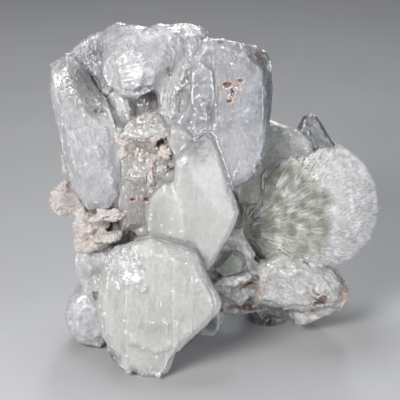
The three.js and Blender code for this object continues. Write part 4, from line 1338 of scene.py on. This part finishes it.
class SPECIMEN_OT_grown_together(PieceOperator, bpy.types.Operator):
    """The stone in the clefts, where the crystals have grown together"""

    bl_idname = "specimen.grown_together"
    bl_label = "Stone in the clefts"

    def execute(self, context):
        nodes = ("front_crystal", "middle_blade", "right_slab", "left_column", "top_sheaf",
                 "pocket_crystals", "lower_left_crystals", "lower_right_crystals", "grey_crystal")
        copies = []
        for node in nodes:
            one = bpy.data.objects.new("cleft_stone", bpy.data.objects[node + "_stone"].data.copy())
            bpy.context.collection.objects.link(one)
            copies.append(one)
        piece = joined(copies[0], copies[1:])
        grain = 0.5 * MM
        reach = 1.1 * MM  # closes the clefts that are narrower than twice this
        sunk = 0.45 * MM  # how far this stone stays behind the surfaces around it
        notch = (-28.2, 64.6)
        finish_with(piece, "REMESH", mode="VOXEL", voxel_size=grain, adaptivity=0.0)
        finish_with(piece, "DISPLACE", strength=reach, mid_level=0.0)
        finish_with(piece, "REMESH", mode="VOXEL", voxel_size=grain, adaptivity=0.0)
        finish_with(piece, "SMOOTH", factor=WEAR, iterations=5)
        finish_with(piece, "DISPLACE", strength=-reach - sunk, mid_level=0.0)
        finish_with(piece, "DECIMATE", ratio=0.6)
        pressed_back(piece, notch, notch, reach=7.5, depth=3.4)
        select_only(piece)
        bpy.ops.object.shade_smooth()
        holes = (*SLAB_PITS, *SHEAF_PITS, *POCKET_HOLES, *BASE_HOLES)
        margin = 1.5  # keeps this stone clear of the holes
        open_holes = []
        for middle, (wide, _, tall), _ in holes:
            open_holes.append(dent(middle, (wide * margin, 6, tall * margin), 3.0))
        carve(piece, swells(2, depth=0.3, seed=41), swells(1, depth=0.15, seed=42), *open_holes)
        finish = stilbite(
            "stone in the clefts", milky=tint(180, 179, 179), clear=tint(156, 155, 154), haze=3.0, seed=41,
            scatter=self.stone.scatter,
            stains_and_painted_light=browned(holes),
        )
        settle(piece, finish, "pearly_stilbite")
        return {"FINISHED"}


class SPECIMEN_OT_clear_crystal(PieceOperator, bpy.types.Operator):
    """The small clear crystal"""

    bl_idname = "specimen.clear_crystal"
    bl_label = "Clear crystal"

    def execute(self, context):
        piece = grown_from("clear_crystal", "clear_crystal_stone")
        piece.data.transform(Matrix.Translation(at(0, -0.7, 0.5)))
        skinned(piece, 0.1 * MM, grow=0.15 * MM)
        settle(piece, clear_stone(), "clear_crystal", "clear_crystal")
        return {"FINISHED"}


class SPECIMEN_OT_crusts(PieceOperator, bpy.types.Operator):
    """The pink crusts in the pocket, on the left and at the lower right"""

    bl_idname = "specimen.crusts"
    bl_label = "Crusts"

    def execute(self, context):
        pale = ((-34.8, -5.5, 37.2), (4, 6, 4.4), (152, 148, 148), 0.85)
        ledge = ((-24.4, -9.6, 35.2), (4, 3, 1.2), (190, 187, 185), 0.8)
        tip = ((-25.4, -11.6, 29.2), (4.8, 3, 1.7), (208, 209, 206), 0.95)
        top = ((-16, -9, 54.2), (7, 6, 1.1), (186, 183, 182), 0.8)
        # Brown cracks, a hole and tones; the first is a painted shadow in the dark slot under the ledge.
        cracks_holes_and_painted_shade = (((-25.6, -10, 34.4), (1.6, 5, 0.3), BROWN, 0.9),
                 ((-27.4, -10.4, 28.2), (1.8, 5, 0.3), BROWN, 0.8),
                 ((-29.6, -7.4, 34.8), (1.6, 5, 0.9), BROWN, 0.8),
                 ((-14.6, -9, 45), (0.4, 5, 2.4), BROWN, 0.8),
                 # Painted shade, brownish, on the lens-shaped ledge.
                 ((-17.2, -9, 50.2), (4.6, 5, 2), (140, 126, 116), 0.9),
                 ((-13, -9, 47), (3, 5, 3), (170, 158, 151), 0.8),
                 ((-12.5, -10, 52.2), (2.2, 6, 1.4), (104, 88, 72), 0.95))
        finish = crust_stone("pink crust", self.stone.crust_pale, self.stone.crust_deep,
                             (pale, ledge, tip, top, *cracks_holes_and_painted_shade))
        edge = [knob((-35.1, -5.6, 45), (0.9, 1.6, 2)), knob((-35.6, -5.4, 47.6), (0.8, 1.4, 1.4))]
        finger = plate([(-29.2, 27.4), (-28.8, 28.4), (-23, 30.6), (-22.2, 30.2), (-22.6, 29.4),
                        (-28.4, 27)], y=-11.4, thick=3, face=0.94, pitch=-12)
        shelf = plate([(-30.6, 33.6), (-29, 34.6), (-23.4, 36.4), (-21.6, 35.8), (-22.4, 34.9),
                       (-28.4, 32.9)], y=-10.6, thick=4, face=0.9, pitch=-20)
        extras = {"left_crust": [*edge, finger, shelf]}
        holes = {
            "pocket_crust": (dent((-12.5, -10, 52.2), (2.1, 5, 1.3), 2.0, ragged=0.5),
                             dent((-17.4, -9, 50.2), (3, 5, 1.2), 0.9)),
            "left_crust": (dent((-29.4, -7.4, 35), (2.2, 5, 1.2), 1.4),
                           dent((-25.6, -10, 34.2), (1.6, 5, 0.4), 0.8)),
        }
        everywhere = (30, 30, 30)
        crusts = (
            ("pocket_crust", {"seed": 31, "back": 1.1, "grow": -0.1, "rough": 1.0}),
            ("left_crust", {"seed": 33, "back": 0, "grow": 0.03, "rough": 0.6}),
            ("base_crust", {"seed": 35, "back": 0, "grow": 0.1, "rough": 1.0}),
        )
        for node, how in crusts:
            seed, rough = how["seed"], how["rough"]
            piece = grown_from(node, node + "_stone")
            piece.data.transform(Matrix.Translation(at(0, how["back"], 0)))
            skinned(piece, self.stone.crust_grain, fill=0.4, extras=extras.get(node, ()),
                    grow=how["grow"] * MM)
            carve(
                piece,
                swells(3, depth=1.2 * rough, seed=seed),
                swells(1.3, depth=0.8 * rough, seed=seed + 1),
                swells(0.5, depth=0.2, seed=seed + 2),
                *holes.get(node, ()),
            )
            settle(piece, finish, "pink_crust", node)
            low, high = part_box(node)
            middle = [(a + b) / 2 / MM for a, b in zip(low, high)]
            grains(node + "_grains", piece, density=2.0, spots=((middle, everywhere, 1.0),), size=0.3,
                   finish=finish, slot="pink_crust", seed=seed)
        return {"FINISHED"}


class SPECIMEN_OT_needle_ball(PieceOperator, bpy.types.Operator):
    """The ball of needles: its core, the felt on its dome and the bundles on its broken face"""

    bl_idname = "specimen.needle_ball"
    bl_label = "Needle ball"

    def execute(self, context):
        root = Vector(self.needles.root)
        facing = Vector((-0.6, -0.79, 0.05)).normalized()  # the way that the broken face looks
        face_edge, face_middle = 0.72, 0.88  # how closely the surface looks that way
        lift = 0.22  # how far the needles on the broken face lift off it
        core = grown_from("mordenite_ball", "needle_ball_core")
        skinned(core, 0.3 * MM, grow=-0.4 * MM)

        def broken(tree, place, normal):
            lined_up = add(tree, "ShaderNodeVectorMath", {0: normal, 1: facing},
                           operation="DOT_PRODUCT").outputs["Value"]
            return ramp_of(tree, lined_up, face_edge, face_middle)

        def domed(tree, place, normal):
            return math_of(tree, "SUBTRACT", 1.0, broken(tree, place, normal))

        def away(tree, place, normal):
            return vector_of(tree, "SUBTRACT", place, root)

        def lifted(tree, place, normal):
            along = vector_of(tree, "NORMALIZE", away(tree, place, normal))
            return vector_of(tree, "ADD", along, scaled(tree, facing, lift))

        def clumped(tree, place, normal):
            cloud = placed_group(tree, "haze", build_haze, place=place, size=1.6 * MM, seed=6.0).outputs[0]
            clumps = ramp_of(tree, cloud, 0.2, 0.8, CLUMP_LEAST, 1.0)
            return math_of(tree, "MULTIPLY", domed(tree, place, normal), clumps)

        def streaky(tree, place, normal):
            rays = placed_group(tree, "rays", build_rays, place=place, root=root, fineness=9.0, run=5 * MM,
                                seed=4.0)
            bundles = ramp_of(tree, rays.outputs[0], 0.0, BUNDLE_HIGH)
            return math_of(tree, "MULTIPLY", broken(tree, place, normal), bundles)

        def outer(tree, place, normal):
            mask = in_spots(
                ((19, -3, 37), (8, 9, 9), 1.0),
                ((15, -1, 24), (8, 8, 4), 0.9),
                ((13, 0, 32), (5, 7, 6), 0.6),
                ((23, -7, 30), (6, 8, 10), 0.9),
            )
            return math_of(tree, "MULTIPLY", mask(tree, place, normal), streaky(tree, place, normal))

        needle = seed_crystal("needle", 3, 0.0)
        tuft = seed_tuft("tuft", 16)
        silk = needle_stone("silky mordenite", pale=self.needles.white, shade=tint(212, 212, 212))
        grey = needle_stone("greenish mordenite", pale=tint(226, 226, 220), shade=tint(176, 176, 164))
        on_dome = {"direction": away, "where": clumped, "jitter": 0.5}
        on_break = {"direction": lifted, "jitter": 0.12}
        felt = self.needles.felt_length
        growths = (
            ("felt", silk, {**on_dome, "crystal": needle, "length": felt, "width": 0.13, "sink": 0.25,
                            "density": self.needles.felt_density}),
            ("snow", silk,
             {**on_dome, "crystal": tuft, "length": felt * SNOW_LENGTH, "width": 0.7, "sink": 0.3,
              "density": 1.3}),
            ("threads", grey, {**on_break, "crystal": needle, "length": 4.4, "width": 0.09, "sink": 0.4,
                               "density": self.needles.bundle_density, "where": broken}),
            ("bundles", silk, {**on_break, "crystal": tuft, "length": 4.6, "width": 0.8, "sink": 0.3,
                               "density": 2.2, "where": outer}),
        )
        for number, (name, finish, growth) in enumerate(growths):
            piece = scattered("needle_ball_" + name, core, seed=number * 3, **growth)
            settle(piece, finish, "mordenite_needles")
        bpy.data.objects.remove(needle)
        bpy.data.objects.remove(tuft)
        settle(core, self.core_stone(root), "mordenite_needles", "mordenite_ball")
        return {"FINISHED"}

    def core_stone(self, root):
        """Olive grey between the needles, in rays."""
        material, tree, bsdf, place = new_material(
            "needle ball core",
            subsurface_weight=0.5,
            subsurface_radius=(1.0, 1.0, 1.0),
            subsurface_scale=1.2 * MM,
            roughness=0.5,
        )
        rays = placed_group(tree, "rays", build_rays, place=place, root=root, fineness=46.0, run=4 * MM,
                            seed=1.0)
        shade = ramp_of(tree, rays.outputs[0], -0.5, 0.5)
        olive = mix_of(tree, shade, tint(128, 128, 112), tint(196, 196, 186))
        dome = placed_group(tree, "spot", build_spot, place=place, middle=at(30, 6, 31),
                            reach=at(13, 18, 19), ragged=0.15, grain=2 * MM, softness=0.25).outputs[0]
        tree.links.new(mix_of(tree, dome, olive, tint(206, 206, 206)), bsdf.inputs["Base Color"])
        return material


def aimed_lamp(kind, name, spot, aim, power):
    """Adds a lamp that looks at a place, and gives back its data."""
    bpy.ops.object.light_add(type=kind, location=spot)
    lamp = bpy.context.active_object
    lamp.name = name
    lamp.rotation_euler = (aim - spot).to_track_quat("-Z", "Y").to_euler()
    lamp.data.energy = power
    return lamp.data


class SPECIMEN_OT_stage(bpy.types.Operator):
    """The floor, the lights and the camera"""

    bl_idname = "specimen.stage"
    bl_label = "Stage"

    def execute(self, context):
        setting = context.scene.specimen_stage
        bpy.ops.mesh.primitive_plane_add(size=setting.floor_size)
        floor = context.active_object
        floor.name = "floor"
        floor.data.materials.append(floor_finish(setting.floor_tint, setting.floor_shade))

        forward = Vector((0.0, math.cos(setting.elevation), -math.sin(setting.elevation)))
        aim = Vector(setting.aim)
        bpy.ops.object.camera_add(location=aim - forward * setting.distance)
        camera = context.active_object
        camera.rotation_euler = forward.to_track_quat("-Z", "Y").to_euler()
        camera.data.lens = setting.lens
        camera.data.sensor_width = 36.0
        camera.data.clip_start = 0.01
        camera.data.clip_end = 10.0
        context.scene.camera = camera

        lamps = (
            ("key light", at(-210, -340, 250), 170 * MM, setting.key_power, (1.0, 0.985, 0.965)),
            ("fill light", at(280, -330, 110), 240 * MM, setting.fill_power, (0.95, 0.97, 1.0)),
            ("top light", at(-40, 130, 420), 220 * MM, setting.top_power, (0.97, 0.98, 1.0)),
        )
        for name, spot, size, power, colour in lamps:
            lamp = aimed_lamp("AREA", name, spot, aim, power)
            lamp.size = size
            lamp.color = colour
        lamp = aimed_lamp("SPOT", "back light", at(60, 430, 230), aim, setting.back_power)
        lamp.shadow_soft_size = 60 * MM
        lamp.spot_size = math.radians(17)
        lamp.spot_blend = 0.6

        context.scene.view_settings.view_transform = "Standard"
        world = bpy.data.worlds.new("soft surround")
        context.scene.world = world
        world.use_nodes = True
        back = world.node_tree.nodes["Background"]
        back.inputs["Color"].default_value = (0.8, 0.82, 0.85, 1.0)
        back.inputs["Strength"].default_value = setting.surround
        return {"FINISHED"}


PIECES = (
    SPECIMEN_OT_front_crystal,
    SPECIMEN_OT_middle_blade,
    SPECIMEN_OT_right_slab,
    SPECIMEN_OT_left_column,
    SPECIMEN_OT_top_sheaf,
    SPECIMEN_OT_pocket_crystals,
    SPECIMEN_OT_lower_left_crystals,
    SPECIMEN_OT_grey_crystals,
    SPECIMEN_OT_lower_right_crystals,
    SPECIMEN_OT_rear_crystals,
    SPECIMEN_OT_grown_together,
    SPECIMEN_OT_clear_crystal,
    SPECIMEN_OT_crusts,
    SPECIMEN_OT_needle_ball,
)


class SPECIMEN_PT_panel(bpy.types.Panel):
    """Lists the pieces and their settings"""

    bl_label = "Zeolite specimen"
    bl_idname = "SPECIMEN_PT_panel"
    bl_space_type = "VIEW_3D"
    bl_region_type = "UI"
    bl_category = "Specimen"

    def draw(self, context):
        column = self.layout.column(align=True)
        for operator in (*PIECES, SPECIMEN_OT_stage):
            column.operator(operator.bl_idname)
        for settings in SETTINGS:
            group = getattr(context.scene, settings)
            box = self.layout.box()
            for name in group.__annotations__:
                box.prop(group, name)


SETTINGS = {
    "specimen_stone": StoneSettings,
    "specimen_needles": NeedleSettings,
    "specimen_stage": StageSettings,
}
CLASSES = (*SETTINGS.values(), *PIECES, SPECIMEN_OT_stage, SPECIMEN_PT_panel)


def register():
    """Registers the classes and puts the settings on the scene."""
    for one in CLASSES:
        bpy.utils.register_class(one)
    for name, group in SETTINGS.items():
        setattr(bpy.types.Scene, name, PointerProperty(type=group))


def unregister():
    """Takes the settings off the scene and unregisters the classes."""
    for name in SETTINGS:
        delattr(bpy.types.Scene, name)
    for one in reversed(CLASSES):
        bpy.utils.unregister_class(one)


def main():
    """Builds the specimen piece by piece, then its stage."""
    register()
    bpy.ops.specimen.front_crystal()
    bpy.ops.specimen.middle_blade()
    bpy.ops.specimen.right_slab()
    bpy.ops.specimen.left_column()
    bpy.ops.specimen.top_sheaf()
    bpy.ops.specimen.pocket_crystals()
    bpy.ops.specimen.lower_left_crystals()
    bpy.ops.specimen.grey_crystals()
    bpy.ops.specimen.lower_right_crystals()
    bpy.ops.specimen.rear_crystals()
    bpy.ops.specimen.grown_together()
    bpy.ops.specimen.clear_crystal()
    bpy.ops.specimen.crusts()
    bpy.ops.specimen.needle_ball()
    bpy.ops.specimen.stage()


if __name__ == "__main__":
    main()
